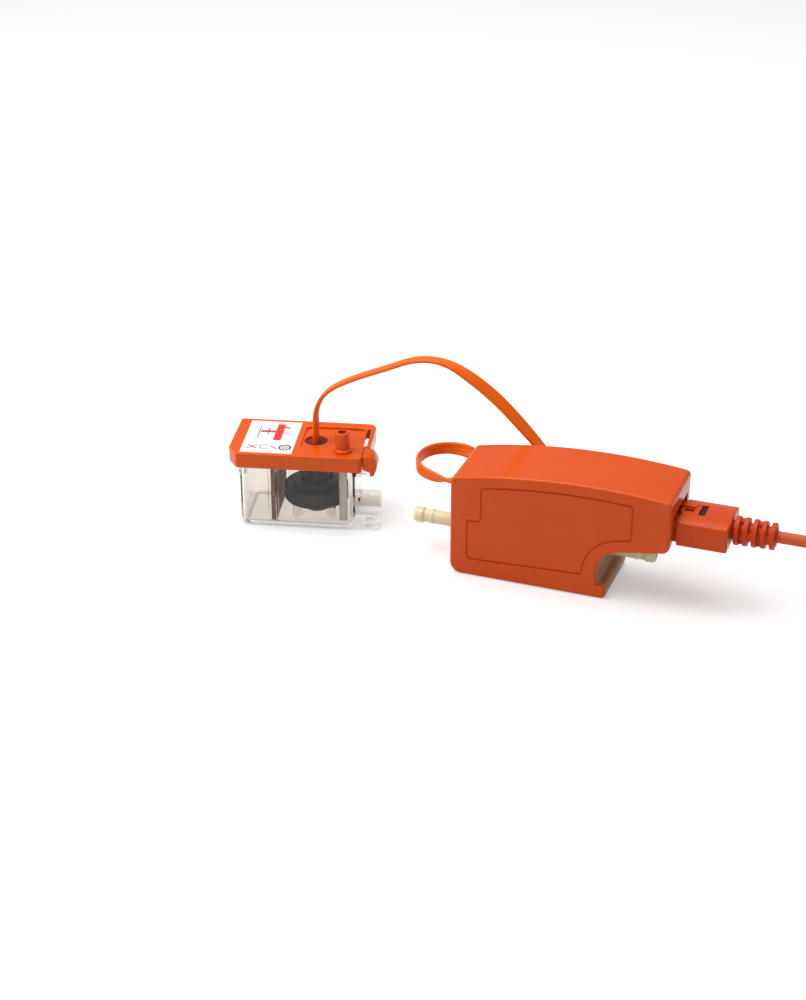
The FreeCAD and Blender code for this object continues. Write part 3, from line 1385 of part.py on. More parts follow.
def sensor_cables():
    """The arch over to the pump, the stretch behind it and the loop at its left end."""
    stations = ribbon_stations()
    first_cut = len(ARCH_POINTS) - 0.5
    second_cut = len(ARCH_POINTS) + len(BACK_POINTS) - 0.5
    spans = []
    for low, high in ((0, first_cut), (first_cut, second_cut), (second_cut, 1000)):
        spans.append([s for s in stations if low <= s[0] <= high])
    arch, behind, loop = spans
    for earlier, later in ((arch, behind), (behind, loop)):
        joint = earlier[-1]
        other = later[0]
        wide = unit(joint[3] + other[3])
        middle = ((joint[0] + other[0]) / 2, (joint[1] + other[1]) * 0.5, joint[2], wide)
        earlier.append(middle)
        later.insert(0, middle)
    return arch, behind, loop


def main():
    save("pump_housing", pump_housing())
    save("base_cover", base_cover())
    save("base_screws", *base_screws())
    save("inlet_fitting", inlet_fitting())
    save("outlet_fitting", outlet_fitting())
    save("o_rings", *o_rings())
    save("pump_cylinder", pump_cylinder())
    save("piston", piston())
    save("suction_valve", suction_valve())
    save("piston_spring", piston_spring())
    save("buffer_spring", buffer_spring())
    save("valve_seat", valve_seat())
    save("outlet_valve", outlet_valve())
    save("outlet_valve_spring", outlet_valve_spring())
    save("rubber_mounts", *rubber_mounts())
    save("solenoid_frame", solenoid_frame())
    save("solenoid_bobbin", solenoid_bobbin())
    save("solenoid_winding", solenoid_winding())
    save("coil_pins", *coil_pins())
    save("pole_rings", *pole_rings())
    save("thermal_cutout", thermal_cutout())
    save("circuit_board", circuit_board())
    save("relay", relay())
    save("suppression_capacitor", suppression_capacitor())
    save("smoothing_capacitor", smoothing_capacitor())
    save("fuse_link", fuse_link())
    save("sensor_connector", sensor_connector())
    save("mains_socket", mains_socket())
    save("socket_pins", *socket_pins())
    save("cable_gland", cable_gland())
    save("plug_body", plug_body())
    save("plug_latch", plug_latch())
    save("plug_contacts", *plug_contacts())
    save("plug_strain_relief", plug_strain_relief())
    save("mains_cable", cord(mains_cable_points(), LEAD_DIAMETER, "mains_cable"))
    save("mains_cable_coil", mains_cable_coil())
    save("mains_cable_tail", cord(mains_tail_points(), LEAD_DIAMETER, "mains_cable_tail"))
    save("core_ends", *core_ends())
    save("core_ferrules", *core_ferrules())
    save("coil_tie", coil_tie())
    save("reservoir_tub", in_reservoir(reservoir_tub()))
    save("filter_screen", in_reservoir(filter_screen()))
    save("reservoir_lid", in_reservoir(reservoir_lid()))
    save("lid_clip", in_reservoir(lid_clip()))
    save("float_body", in_reservoir(float_body()))
    save("float_magnet", in_reservoir(float_magnet()))
    save("sensor_stem", in_reservoir(sensor_stem()))
    save("sensor_board", in_reservoir(sensor_board()))
    save("stem_seal", in_reservoir(stem_seal()))
    save("pickup_tube", in_reservoir(pickup_tube()))
    arch, behind, loop = sensor_cables()
    save("sensor_cable_arch", ribbon(arch, "sensor_cable_arch"))
    save("sensor_cable_back", ribbon(behind, "sensor_cable_back"))
    save("sensor_cable_loop", ribbon(loop, "sensor_cable_loop"))


main()
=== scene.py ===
"""Condensate pump with its float reservoir: finishes, the two cables and the label.

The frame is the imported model, in metres. The pump's length runs along X, from the inlet barb at
-X to the mains plug at +X. The reservoir stands beside the inlet barb, turned a little, and the
flat sensor cable arches from its lid to the back of the pump.
"""
import math

import bmesh
import bpy
from mathutils import Matrix, Vector


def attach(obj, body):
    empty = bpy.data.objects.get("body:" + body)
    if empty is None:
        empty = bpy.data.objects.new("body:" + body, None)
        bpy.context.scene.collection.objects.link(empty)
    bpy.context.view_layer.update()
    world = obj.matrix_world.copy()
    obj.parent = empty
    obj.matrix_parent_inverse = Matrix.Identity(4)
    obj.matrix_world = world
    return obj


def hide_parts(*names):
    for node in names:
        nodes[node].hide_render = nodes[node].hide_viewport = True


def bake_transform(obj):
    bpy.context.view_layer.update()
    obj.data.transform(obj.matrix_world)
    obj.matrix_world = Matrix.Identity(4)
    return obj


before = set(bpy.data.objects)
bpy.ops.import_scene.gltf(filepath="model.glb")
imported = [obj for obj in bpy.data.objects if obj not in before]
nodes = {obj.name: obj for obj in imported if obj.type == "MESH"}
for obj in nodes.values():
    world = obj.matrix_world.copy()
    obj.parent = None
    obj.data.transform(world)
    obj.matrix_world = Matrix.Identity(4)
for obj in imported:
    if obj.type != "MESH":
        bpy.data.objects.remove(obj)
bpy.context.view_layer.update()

MM = 0.001

# Camera: place in metres, pitch in degrees below level, lens and sensor in millimetres
CAMERA_PLACE = (0.2150, -0.7957, 0.4626)
CAMERA_HEADING = (-0.350, 0.937)
CAMERA_PITCH = 27.35
CAMERA_LENS = 72.0
CAMERA_SENSOR = 36.0

# Light: the floor's grey and the glow that whitens it, the world's level, and the lamps, in
# metres and watts
FLOOR_GREY = 0.70
FLOOR_GLOW = 0.34
FLOOR_RADIUS = 12.0
WORLD_LEVEL = 0.45
LAMPS = [
    {"name": "overhead", "place": (-0.25, 0.20, 1.30), "target": (0.0, 0.0, 0.0),
     "size": (1.2, 0.9), "power": 12.5},
    {"name": "window", "place": (-1.25, -0.28, 0.60), "target": (-0.05, 0.0, 0.03),
     "size": (0.6, 0.6), "power": 5.0},
    {"name": "edge_light", "place": (-0.46, -0.36, 1.05), "target": (-0.02, -0.02, 0.05),
     "size": (0.60, 0.10), "power": 3.2}]

# Mains lead, in millimetres but for its whole length, in metres. It runs straight for a little
# before the coil and after it.
LEAD_DIAMETER = 5.6
LEAD_APPROACH = 13.0
LEAD_LEAVING = 10.1
# Its coil has two layers: the lead winds inwards on the floor and outwards above
COIL_CENTRE = (202.0, -4.0)
COIL_INNER_RADIUS = 22.5
COIL_PITCH = 6.15
COIL_TURNS = 3
COIL_ENTRY_ANGLE = 120.0
COIL_LAYER = 3.7
# In degrees: the step between the coil's points, where its inner turn keeps an even radius, and
# the climb to the upper layer
COIL_STEP = 15
COIL_EASE = 30
COIL_CLIMB = 180
LEAD_FRONT = [
    (77.5, 0.0, 37.0), (109.0, 0.0, 37.0), (121.5, 2.0, 35.9), (132.5, 6.4, 31.6),
    (140.8, 9.8, 24.8), (148.6, 13.0, 16.8), (156.5, 16.1, 9.1)]
# Angle, radius and height about the coil's centre
LEAD_TAIL = [
    (85.9, 44.9, 10.9), (72.9, 44.2, 12.7), (59.8, 42.1, 15.0), (46.4, 38.4, 16.5),
    (32.2, 33.4, 16.6), (17.6, 27.7, 16.1)]

# Flat sensor cable, in millimetres but for its whole length, in metres
RIBBON_WIDTH = 6.2
RIBBON_THICKNESS = 2.0
# One face of its section, in shares of the half width and the half thickness
RIBBON_FACE = [
    (-1.0, 0.0), (-0.97, 0.38), (-0.88, 0.72), (-0.74, 0.93), (-0.60, 1.0), (-0.46, 0.95),
    (-0.34, 0.86), (-0.22, 0.94), (0.0, 1.0), (0.22, 0.94), (0.34, 0.86), (0.46, 0.95),
    (0.60, 1.0), (0.74, 0.93), (0.88, 0.72), (0.97, 0.38)]
# From where it follows the lid to where it follows the pump, in metres
ARCH_START = (-133.42, 15.68)
ARCH_END = (-23.7, 26.0)
# Share of the way from ARCH_START to ARCH_END, height, and the degrees the face leans forward
ARCH_POINTS = [
    (0.0, 34.6, 0), (0.0, 46.0, 0), (0.002, 57.0, 0), (0.054, 67.0, 0), (0.181, 75.0, 0),
    (0.322, 81.5, 0), (0.454, 88.3, 0), (0.585, 88.6, 0), (0.708, 81.3, 42), (0.826, 71.3, 52),
    (0.928, 59.8, 50), (1.025, 48.2, 30)]
# Points behind the pump and round its end, each with the direction of the cable's width
BACK_POINTS = [
    ((-10.5, 26.0, 36.0), (0, 1, 0)), ((0.5, 26.0, 24.5), (0, 1, 0)),
    ((8.0, 26.0, 12.5), (0, 1, 0)), ((0.5, 26.0, 3.4), (0, 1, 0)),
    ((-14.0, 26.0, 2.4), (0, 1, 0)), ((-27.0, 26.0, 9.6), (0, 1, 0)),
    ((-37.0, 26.0, 21.5), (0, 1, 0)), ((-45.0, 25.5, 34.0), (0, 1, 0.1))]
LOOP_POINTS = [
    ((-55.5, 26.0, 41.2), (0, 0.75, 0.65)), ((-68.0, 27.5, 41.4), (0, 0, 1)),
    ((-77.0, 21.0, 41.2), (0, 0, 1)), ((-79.0, 10.0, 40.8), (0, 0, 1)),
    ((-74.0, 0.5, 40.4), (0, 0, 1)), ((-64.5, -3.5, 40.0), (0, -0.3, 0.95)),
    ((-56.0, -3.5, 39.8), (0, -1, 0)), ((-46.0, -3.5, 39.8), (0, -1, 0))]

# Reservoir: its front left corner on the floor, its turn in degrees, and the lid's height
RESERVOIR_PLACE = (-163.9, -12.8)
RESERVOIR_TURN = 14.1
LID_TOP = 40.0

# Clip, in the reservoir's frame, in millimetres
CLIP_LEFT = 61.4
CLIP_FRONT = 2.8
CLIP_WIDTH = 10.0
CLIP_OUTLINE = [
    (0.0, 0.0), (4.6, 0.0), (7.5, -5.2), (5.4, -10.4), (3.5, -10.4), (3.5, -8.4), (0.1, -7.2)]
CLIP_SHOULDER_RADIUS = 2.0
CLIP_EDGE_RADIUS = 0.3

# Label, in millimetres of the lid's top: its corners, and the tops of the film and the ink
LABEL_CORNERS = [(1.8, 2.0), (27.2, 2.0), (27.2, 37.6), (1.8, 37.6)]
PAPER_TOP = 0.12
INK_TOP = 0.14
FILM, RED, GREY, DARK = range(4)
# Ends, width and ink of each bar: a riser with its branches, three wall lines and three strokes
LABEL_BARS = [
    ((17.6, 16.4), (17.6, 34.6), 3.8, RED),
    ((8.2, 26.0), (15.7, 26.0), 2.2, RED),
    ((19.5, 31.0), (22.0, 31.0), 1.6, RED),
    ((7.6, 18.5), (7.6, 32.5), 0.5, GREY),
    ((12.2, 22.6), (12.2, 30.2), 0.5, GREY),
    ((9.6, 30.2), (12.6, 28.4), 0.5, GREY),
    ((4.4, 6.4), (9.4, 10.6), 0.7, RED),
    ((4.4, 10.6), (9.4, 6.4), 0.7, RED),
    ((15.6, 9.9), (19.0, 7.0), 0.8, RED)]
# Centre, outer and inner radius, ink, and the degrees of the start and the sweep
LABEL_RINGS = [
    ((22.0, 26.2), 2.6, 2.1, RED, 200, 130),
    ((12.9, 8.6), 2.5, 2.0, GREY, 40, 280),
    ((22.9, 8.6), 3.1, 2.2, DARK, 0, 360),
    ((22.9, 8.6), 1.4, 0.7, GREY, 0, 360)]
RING_STEP = 12

# Painted shade: dark plates on the floors of the openings in the plug's top. Left, right, front, back
# and height of each floor, in millimetres
SHADE_PLATE_FLOORS = [(53.6, 60.1, -3.2, 5.2, 40.7), (61.05, 63.95, -4.5, 5.7, 42.9)]
SHADE_PLATE_THICKNESS = 0.05


# Finishes

# Most values of a noise lie between the first two. A wave texture turns by the third, in radians,
# over one of its units.
NOISE_LOW = 0.3
NOISE_HIGH = 0.7
WAVE_RADIANS = 20

# Specular level of moulded and extruded plastics
SOFT_GLOSS = 0.22


def srgb(red, green, blue):
    """A colour from 0 to 255 a channel, as the shader wants it."""
    linear = []
    for value in (red, green, blue):
        share = value / 255
        linear.append(share / 12.92 if share <= 0.04045 else ((share + 0.055) / 1.055) ** 2.4)
    return (*linear, 1.0)


class Finish:
    """One material's node tree, and the few nodes that the finishes share, sized in millimetres."""

    def __init__(self, name):
        self.material = bpy.data.materials.new(name)
        self.material.use_nodes = True
        self.tree = self.material.node_tree
        self.shader = self.tree.nodes["Principled BSDF"]
        self.place = self.add("ShaderNodeTexCoord").outputs["Object"]
        self.height = None

    def add(self, kind, **settings):
        node = self.tree.nodes.new(kind)
        for key, value in settings.items():
            setattr(node, key, value)
        return node

    def feed(self, node, socket, source):
        """Sets a socket, or links it where the source is another node's output."""
        target = node.inputs[socket]
        if isinstance(source, bpy.types.NodeSocket):
            self.tree.links.new(source, target)
        else:
            target.default_value = source
        return node

    def set(self, **values):
        for key, value in values.items():
            self.feed(self.shader, key.replace("_", " "), value)

    def stretched(self, scale):
        """Object coordinates, stretched along the three axes."""
        mapping = self.add("ShaderNodeMapping")
        self.feed(mapping, "Vector", self.place)
        mapping.inputs["Scale"].default_value = scale
        return mapping.outputs["Vector"]

    def noise(self, size, detail=2.0, roughness=0.5, place=None):
        """Cloudy values whose patches are about the given size."""
        noise = self.add("ShaderNodeTexNoise")
        self.feed(noise, "Vector", place or self.place)
        self.feed(noise, "Scale", 1.0 / (size * MM))
        self.feed(noise, "Detail", detail)
        self.feed(noise, "Roughness", roughness)
        return noise.outputs["Fac"]

    def cells(self, size):
        """Small round cells of about the given size."""
        cells = self.add("ShaderNodeTexVoronoi")
        self.feed(cells, "Vector", self.place)
        self.feed(cells, "Scale", 1.0 / (size * MM))
        return cells.outputs["Distance"]

    def bands(self, spacing, direction):
        """Parallel ridges a set spacing apart."""
        wave = self.add("ShaderNodeTexWave", bands_direction=direction)
        self.feed(wave, "Vector", self.place)
        self.feed(wave, "Scale", math.tau / (WAVE_RADIANS * spacing * MM))
        return wave.outputs["Fac"]

    def span(self, value, low, high):
        """Stretches the usual values of a noise to a range."""
        remap = self.add("ShaderNodeMapRange")
        self.feed(remap, "Value", value)
        self.feed(remap, "From Min", NOISE_LOW)
        self.feed(remap, "From Max", NOISE_HIGH)
        self.feed(remap, "To Min", low)
        self.feed(remap, "To Max", high)
        return remap.outputs["Result"]

    def ramp(self, value, *stops):
        """Colours along a value: (place, colour) stops."""
        ramp = self.add("ShaderNodeValToRGB")
        self.feed(ramp, "Fac", value)
        elements = ramp.color_ramp.elements
        elements[0].position, elements[0].color = stops[0]
        elements[1].position, elements[1].color = stops[-1]
        for position, colour in stops[1:-1]:
            elements.new(position).color = colour
        return ramp.outputs["Color"]

    def bump(self, value, depth, strength=1.0):
        """Adds a relief of a real depth."""
        bump = self.add("ShaderNodeBump")
        self.feed(bump, "Height", value)
        self.feed(bump, "Distance", depth * MM)
        self.feed(bump, "Strength", strength)
        if self.height is not None:
            self.feed(bump, "Normal", self.height)
        self.height = bump.outputs["Normal"]
        self.feed(self.shader, "Normal", self.height)


def shade(colour, factor):
    """The colour, darker or lighter by a factor."""
    return (*(min(1.0, channel * factor) for channel in colour[:3]), 1.0)


def moulded(name, colour, roughness, grain_depth=0.0025):
    """Injection-moulded plastic: slow drifts of tone, the mould's fine grain and faint flow marks."""
    finish = Finish(name)
    tone = finish.noise(30.0, 3.0, 0.55)
    finish.set(
        Base_Color=finish.ramp(tone, (0.3, shade(colour, 0.96)), (0.7, shade(colour, 1.04))),
        Roughness=finish.span(finish.noise(4.0, 4.0, 0.6), roughness - 0.04, roughness + 0.05),
        Specular_IOR_Level=SOFT_GLOSS)
    finish.bump(finish.noise(0.16, 2.0, 0.5), grain_depth)
    finish.bump(finish.noise(12.0, 2.0, 0.5), 0.06)
    return finish.material


def metal(name, colour, roughness, brushed):
    """Bare or plated metal with drawn scratches across the brushed direction."""
    finish = Finish(name)
    lines = finish.noise(0.4, 3.0, 0.6, finish.stretched(brushed))
    finish.set(
        Base_Color=finish.ramp(
            finish.noise(3.0, 3.0), (0.3, shade(colour, 0.88)), (0.7, shade(colour, 1.06))),
        Metallic=1.0,
        Roughness=finish.span(lines, roughness - 0.06, roughness + 0.10))
    finish.bump(lines, 0.04, 0.35)
    return finish.material


def jacket(name, colour, roughness):
    """Extruded cable jacket: slight drag lines and a satin skin."""
    finish = Finish(name)
    tone = finish.noise(18.0, 3.0, 0.6)
    finish.set(
        Base_Color=finish.ramp(tone, (0.3, shade(colour, 0.95)), (0.7, shade(colour, 1.04))),
        Roughness=finish.span(finish.noise(2.0, 3.0, 0.6), roughness - 0.05, roughness + 0.06),
        Specular_IOR_Level=SOFT_GLOSS)
    finish.bump(finish.noise(0.3, 2.0, 0.5), 0.01)
    finish.bump(finish.noise(4.0, 2.0, 0.5), 0.04)
    return finish.material


def rubber(name, colour):
    """Soft moulded rubber: matt, with a fine dusty bloom."""
    finish = Finish(name)
    bloom = finish.noise(6.0, 4.0, 0.65)
    finish.set(
        Base_Color=finish.ramp(bloom, (0.35, colour), (0.75, shade(colour, 1.5))),
        Roughness=finish.span(finish.noise(1.5, 3.0, 0.6), 0.62, 0.78),
        Specular_IOR_Level=0.35)
    finish.bump(finish.noise(0.2, 2.0, 0.6), 0.012)
    return finish.material


def clear_styrene():
    """Clear moulded plastic: slight warm grey cast, faint flow ripple and wiped patches."""
    finish = Finish("clear_styrene")
    wiped = finish.noise(7.0, 4.0, 0.6)
    finish.set(
        Base_Color=srgb(234, 230, 225),
        Roughness=finish.span(wiped, 0.02, 0.07),
        Transmission_Weight=1.0,
        IOR=1.32)
    finish.bump(finish.noise(9.0, 2.0, 0.5), 0.05, 0.5)
    return finish.material


def milky_nylon():
    """Natural nylon: cream, slightly translucent, with a faint mottle."""
    finish = Finish("milky_nylon")
    mottle = finish.noise(5.0, 4.0, 0.6)
    finish.set(
        Base_Color=finish.ramp(mottle, (0.3, srgb(214, 207, 160)), (0.7, srgb(229, 223, 184))),
        Roughness=finish.span(finish.noise(2.0, 3.0), 0.30, 0.42),
        Subsurface_Weight=0.12,
        Subsurface_Scale=3 * MM,
        Subsurface_Radius=(1.0, 0.8, 0.45))
    finish.bump(finish.noise(0.4, 2.0, 0.5), 0.01)
    return finish.material


def screen_plastic():
    """The filter's moulded grid: dark red-brown, stained a little where water has stood."""
    finish = Finish("screen_plastic")
    stain = finish.noise(6.0, 4.0, 0.65, finish.stretched((1.0, 1.0, 2.5)))
    finish.set(
        Base_Color=finish.ramp(stain, (0.35, srgb(120, 78, 62)), (0.65, srgb(152, 112, 92))),
        Roughness=finish.span(finish.noise(1.0, 3.0), 0.45, 0.6))
    finish.bump(finish.noise(0.5, 2.0, 0.5), 0.02)
    return finish.material


def closed_cell_foam():
    """The float: black foamed nitrile with fine closed cells in its skin."""
    finish = Finish("closed_cell_foam")
    cells = finish.cells(0.35)
    finish.set(
        Base_Color=finish.ramp(
            finish.noise(4.0, 3.0, 0.6), (0.3, srgb(14, 14, 14)), (0.7, srgb(26, 25, 25))),
        Roughness=finish.span(finish.noise(3.0, 3.0), 0.42, 0.56),
        Specular_IOR_Level=0.45)
    finish.bump(cells, 0.03, 0.6)
    return finish.material


def copper_winding():
    """Enamelled wire laid side by side round the bobbin."""
    finish = Finish("copper_winding")
    wires = finish.bands(0.28, "X")
    finish.set(
        Base_Color=finish.ramp(wires, (0.1, srgb(120, 52, 22)), (0.6, srgb(196, 104, 58))),
        Metallic=0.9,
        Roughness=finish.span(finish.noise(1.0, 2.0), 0.26, 0.38),
        Coat_Weight=0.6,
        Coat_Roughness=0.12)
    finish.bump(wires, 0.12, 0.9)
    return finish.material


def board_laminate():
    """Glass-fibre board under green solder mask, with the weave and the tracks just showing."""
    finish = Finish("board_laminate")
    tracks = finish.add("ShaderNodeTexBrick", offset=0.37, squash=1.0)
    finish.feed(tracks, "Vector", finish.place)
    finish.feed(tracks, "Scale", 160.0)
    finish.feed(tracks, "Mortar Size", 0.03)
    finish.feed(tracks, "Color1", srgb(18, 84, 48))
    finish.feed(tracks, "Color2", srgb(24, 96, 56))
    finish.feed(tracks, "Mortar", srgb(10, 62, 36))
    finish.set(
        Base_Color=tracks.outputs["Color"],
        Roughness=finish.span(finish.noise(2.0, 2.0), 0.3, 0.4))
    finish.bump(finish.noise(0.4, 1.0), 0.01)
    finish.bump(tracks.outputs["Fac"], 0.03, 0.5)
    return finish.material


def glazed(name, colour):
    """A smooth, hard body, such as ceramic or cast resin, with a thin gloss coat."""
    finish = Finish(name)
    finish.set(
        Base_Color=finish.ramp(
            finish.noise(3.0, 4.0, 0.7), (0.3, shade(colour, 0.93)), (0.7, shade(colour, 1.05))),
        Roughness=finish.span(finish.noise(1.0, 2.0), 0.28, 0.36),
        Coat_Weight=0.7,
        Coat_Roughness=0.06)
    finish.bump(finish.noise(1.5, 3.0), 0.03, 0.5)
    return finish.material


def ferrite():
    """Sintered dark magnet ring with a grainy surface."""
    finish = Finish("ferrite")
    finish.set(
        Base_Color=finish.ramp(
            finish.noise(0.6, 3.0, 0.7), (0.3, srgb(30, 29, 29)), (0.7, srgb(52, 50, 50))),
        Metallic=0.3,
        Roughness=finish.span(finish.noise(0.8, 2.0), 0.4, 0.6))
    finish.bump(finish.cells(0.5), 0.04, 0.5)
    return finish.material


def coated_paper():
    """The label's film: white, faintly fibrous, with a satin laminate."""
    finish = Finish("coated_paper")
    finish.set(
        Base_Color=finish.ramp(
            finish.noise(1.2, 4.0, 0.6), (0.3, srgb(222, 226, 225)), (0.7, srgb(232, 235, 233))),
        Roughness=finish.span(finish.noise(3.0, 3.0), 0.34, 0.44))
    finish.bump(finish.noise(6.0, 2.0), 0.04, 0.4)
    return finish.material


def ink(name, colour):
    """Printed ink: slightly uneven cover over the film."""
    finish = Finish(name)
    finish.set(
        Base_Color=finish.ramp(
            finish.noise(0.9, 4.0, 0.7), (0.25, shade(colour, 1.12)), (0.6, colour)),
        Roughness=finish.span(finish.noise(3.0, 2.0), 0.36, 0.46))
    finish.bump(finish.noise(0.4, 2.0), 0.004)
    return finish.material


housing_orange = moulded("housing_orange", srgb(208, 76, 8), 0.22)
lid_orange = moulded("lid_orange", srgb(216, 82, 4), 0.20, grain_depth=0.001)
plug_orange = moulded("plug_orange", srgb(204, 70, 8), 0.28)
relief_orange = jacket("relief_orange", srgb(196, 60, 12), 0.40)
lead_orange = jacket("lead_orange", srgb(204, 92, 56), 0.40)
ribbon_orange = jacket("ribbon_orange", srgb(234, 98, 2), 0.34)
nylon = milky_nylon()
styrene = clear_styrene()
# Painted shade: a near-black red for the plates that darken the openings round the plug's latch
painted_shade_red = moulded("painted_shade_red", srgb(66, 13, 8), 0.50)
black_moulding = moulded("black_moulding", srgb(30, 30, 31), 0.45)
# Base cover: a tan-brown plastic, darkened as painted shade for the shaded notch under the pump
cover_shaded_tan = moulded("cover_shaded_tan", srgb(172, 128, 84), 0.40)
socket_cream = moulded("socket_cream", srgb(222, 218, 202), 0.42)
pickup_white = moulded("pickup_white", srgb(212, 212, 206), 0.38)
stem_black = moulded("stem_black", srgb(26, 25, 25), 0.38)
tie_black = moulded("tie_black", srgb(24, 24, 25), 0.40)
steel = metal("ground_steel", srgb(190, 190, 188), 0.26, (1.0, 0.05, 1.0))
plated_steel = metal("plated_steel", srgb(176, 178, 182), 0.36, (0.05, 1.0, 1.0))
screw_steel = metal("screw_steel", srgb(182, 184, 184), 0.30, (1.0, 1.0, 0.1))
brass = metal("contact_brass", srgb(206, 172, 96), 0.24, (0.1, 1.0, 1.0))
black_rubber = rubber("black_rubber", srgb(34, 31, 30))
seal_rubber = rubber("seal_rubber", srgb(92, 20, 10))
gland_rubber = rubber("gland_rubber", srgb(60, 40, 32))
paper = coated_paper()
red_ink = ink("red_ink", srgb(214, 44, 34))
grey_ink = ink("grey_ink", srgb(122, 126, 128))
dark_ink = ink("dark_ink", srgb(52, 54, 56))

FINISH_OF_NODE = {
    "pump_housing": housing_orange,
    "base_cover": cover_shaded_tan,
    "base_screws": screw_steel,
    "inlet_fitting": nylon,
    "outlet_fitting": nylon,
    "valve_seat": nylon,
    "o_rings": black_rubber,
    "rubber_mounts": black_rubber,
    "suction_valve": black_rubber,
    "cable_gland": gland_rubber,
    "stem_seal": seal_rubber,
    "pump_cylinder": steel,
    "piston": steel,
    "piston_spring": steel,
    "buffer_spring": steel,
    "outlet_valve": steel,
    "outlet_valve_spring": steel,
    "pole_rings": steel,
    "core_ferrules": steel,
    "socket_pins": steel,
    "coil_pins": steel,
    "solenoid_frame": plated_steel,
    "solenoid_bobbin": black_moulding,
    "solenoid_winding": copper_winding(),
    "thermal_cutout": black_moulding,
    "circuit_board": board_laminate(),
    "sensor_board": board_laminate(),
    "relay": black_moulding,
    "smoothing_capacitor": black_moulding,
    "sensor_connector": black_moulding,
    "suppression_capacitor": glazed("capacitor_resin", srgb(196, 170, 40)),
    "fuse_link": glazed("fuse_ceramic", srgb(226, 222, 208)),
    "mains_socket": socket_cream,
    "plug_body": plug_orange,
    "plug_latch": plug_orange,
    "plug_contacts": brass,
    "plug_strain_relief": relief_orange,
    "coil_tie": tie_black,
    "core_ends": jacket("core_brown", srgb(104, 62, 38), 0.4),
    "reservoir_tub": styrene,
    "filter_screen": screen_plastic(),
    "reservoir_lid": lid_orange,
    "float_body": closed_cell_foam(),
    "float_magnet": ferrite(),
    "sensor_stem": stem_black,
    "pickup_tube": pickup_white,
}

for name, material in FINISH_OF_NODE.items():
    slots = nodes[name].data.materials
    slots.clear()
    slots.append(material)


# Cords

def metres(point):
    """A point given in millimetres."""
    return Vector(point) * MM


def smooth_line(name, points):
    """A NURBS curve, in metres, whose control points are the route's points in millimetres."""
    curve = bpy.data.curves.new(name, "CURVE")
    curve.dimensions = "3D"
    spline = curve.splines.new("NURBS")
    spline.points.add(len(points) - 1)
    for control, point in zip(spline.points, points):
        control.co = (*metres(point), 1.0)
    spline.order_u = 3
    spline.use_endpoint_u = True
    return curve


def shown(name, data):
    piece = bpy.data.objects.new(name, data)
    bpy.context.scene.collection.objects.link(piece)
    return piece


def round_coil(radius, degrees, z):
    """A point at a radius and an angle about the coil's centre."""
    angle = math.radians(degrees)
    return Vector((
        COIL_CENTRE[0] + radius * math.cos(angle), COIL_CENTRE[1] + radius * math.sin(angle), z))


def coil_place(s):
    """A point of the coil. s is in degrees: below 0 on the lower layer, above 0 on the upper one."""
    radius = COIL_INNER_RADIUS + COIL_PITCH * math.hypot(s, COIL_EASE) / 360
    share = min(1.0, max(0.0, s / COIL_CLIMB + 0.5))
    climb = share * share * (3 - 2 * share)
    return round_coil(radius, COIL_ENTRY_ANGLE - s, COIL_LAYER + COIL_PITCH * climb)


def coil_end(s, side):
    """The point one diameter beyond an end of the coil, and the direction out of it."""
    here = coil_place(s)
    half_degree = 0.5
    out = (here - coil_place(s - side * half_degree)).normalized()
    return here + out * LEAD_DIAMETER, out


def lead_route():
    """The mains lead: down from the plug to the floor, round the coil and out to its cut end."""
    span = 360 * COIL_TURNS
    end, out = coil_end(-span, -1)
    start, away = coil_end(span, 1)
    route = [Vector(p) for p in LEAD_FRONT] + [end + out * LEAD_APPROACH, end]
    route += [coil_place(s) for s in range(-span, span + 1, COIL_STEP)]
    route += [start, start + away * LEAD_LEAVING]
    route += [round_coil(radius, angle, z) for angle, radius, z in LEAD_TAIL]
    return route


def mains_lead():
    """The round lead as one curve, from the plug's strain relief to the cut end of its jacket."""
    route = lead_route()
    curve = smooth_line("mains_lead", route)
    curve.bevel_depth = LEAD_DIAMETER / 2 * MM
    curve.bevel_resolution = 5
    curve.resolution_u = 4
    curve.use_fill_caps = True
    curve.materials.append(lead_orange)
    lead = shown("mains_lead_cable", curve)
    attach(lead, "mains_lead")
    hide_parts("mains_cable", "mains_cable_coil", "mains_cable_tail")


def ribbon_controls():
    """Control points of the flat cable, and the direction of its width at each."""
    run = Vector((ARCH_END[0] - ARCH_START[0], ARCH_END[1] - ARCH_START[1], 0))
    across = Vector((-run.y, run.x, 0)).normalized()
    controls = []
    for share, z, lean in ARCH_POINTS:
        place = Vector((ARCH_START[0], ARCH_START[1], z)) + run * share
        lean = math.radians(lean)
        controls.append((place, across * math.cos(lean) + Vector((0, 0, math.sin(lean)))))
    for place, width in BACK_POINTS + LOOP_POINTS:
        controls.append((Vector(place), Vector(width).normalized()))
    return controls


def read_line(name, points):
    """The points, in metres, of the smooth line through a route."""
    curve = smooth_line(name, points)
    curve.resolution_u = 10
    helper = shown(name, curve)
    mesh = bpy.data.meshes.new_from_object(helper)
    line = [v.co.copy() for v in mesh.vertices]
    bpy.data.objects.remove(helper)
    bpy.data.meshes.remove(mesh)
    bpy.data.curves.remove(curve)
    return line


def ribbon_section():
    """Steps round the flat cable: rounded edges and shallow valleys between its three cores."""
    half_width = RIBBON_WIDTH / 2 * MM
    half_thick = RIBBON_THICKNESS / 2 * MM
    outline = RIBBON_FACE + [(-u, -w) for u, w in RIBBON_FACE]
    return [(u * half_width, w * half_thick) for u, w in outline]


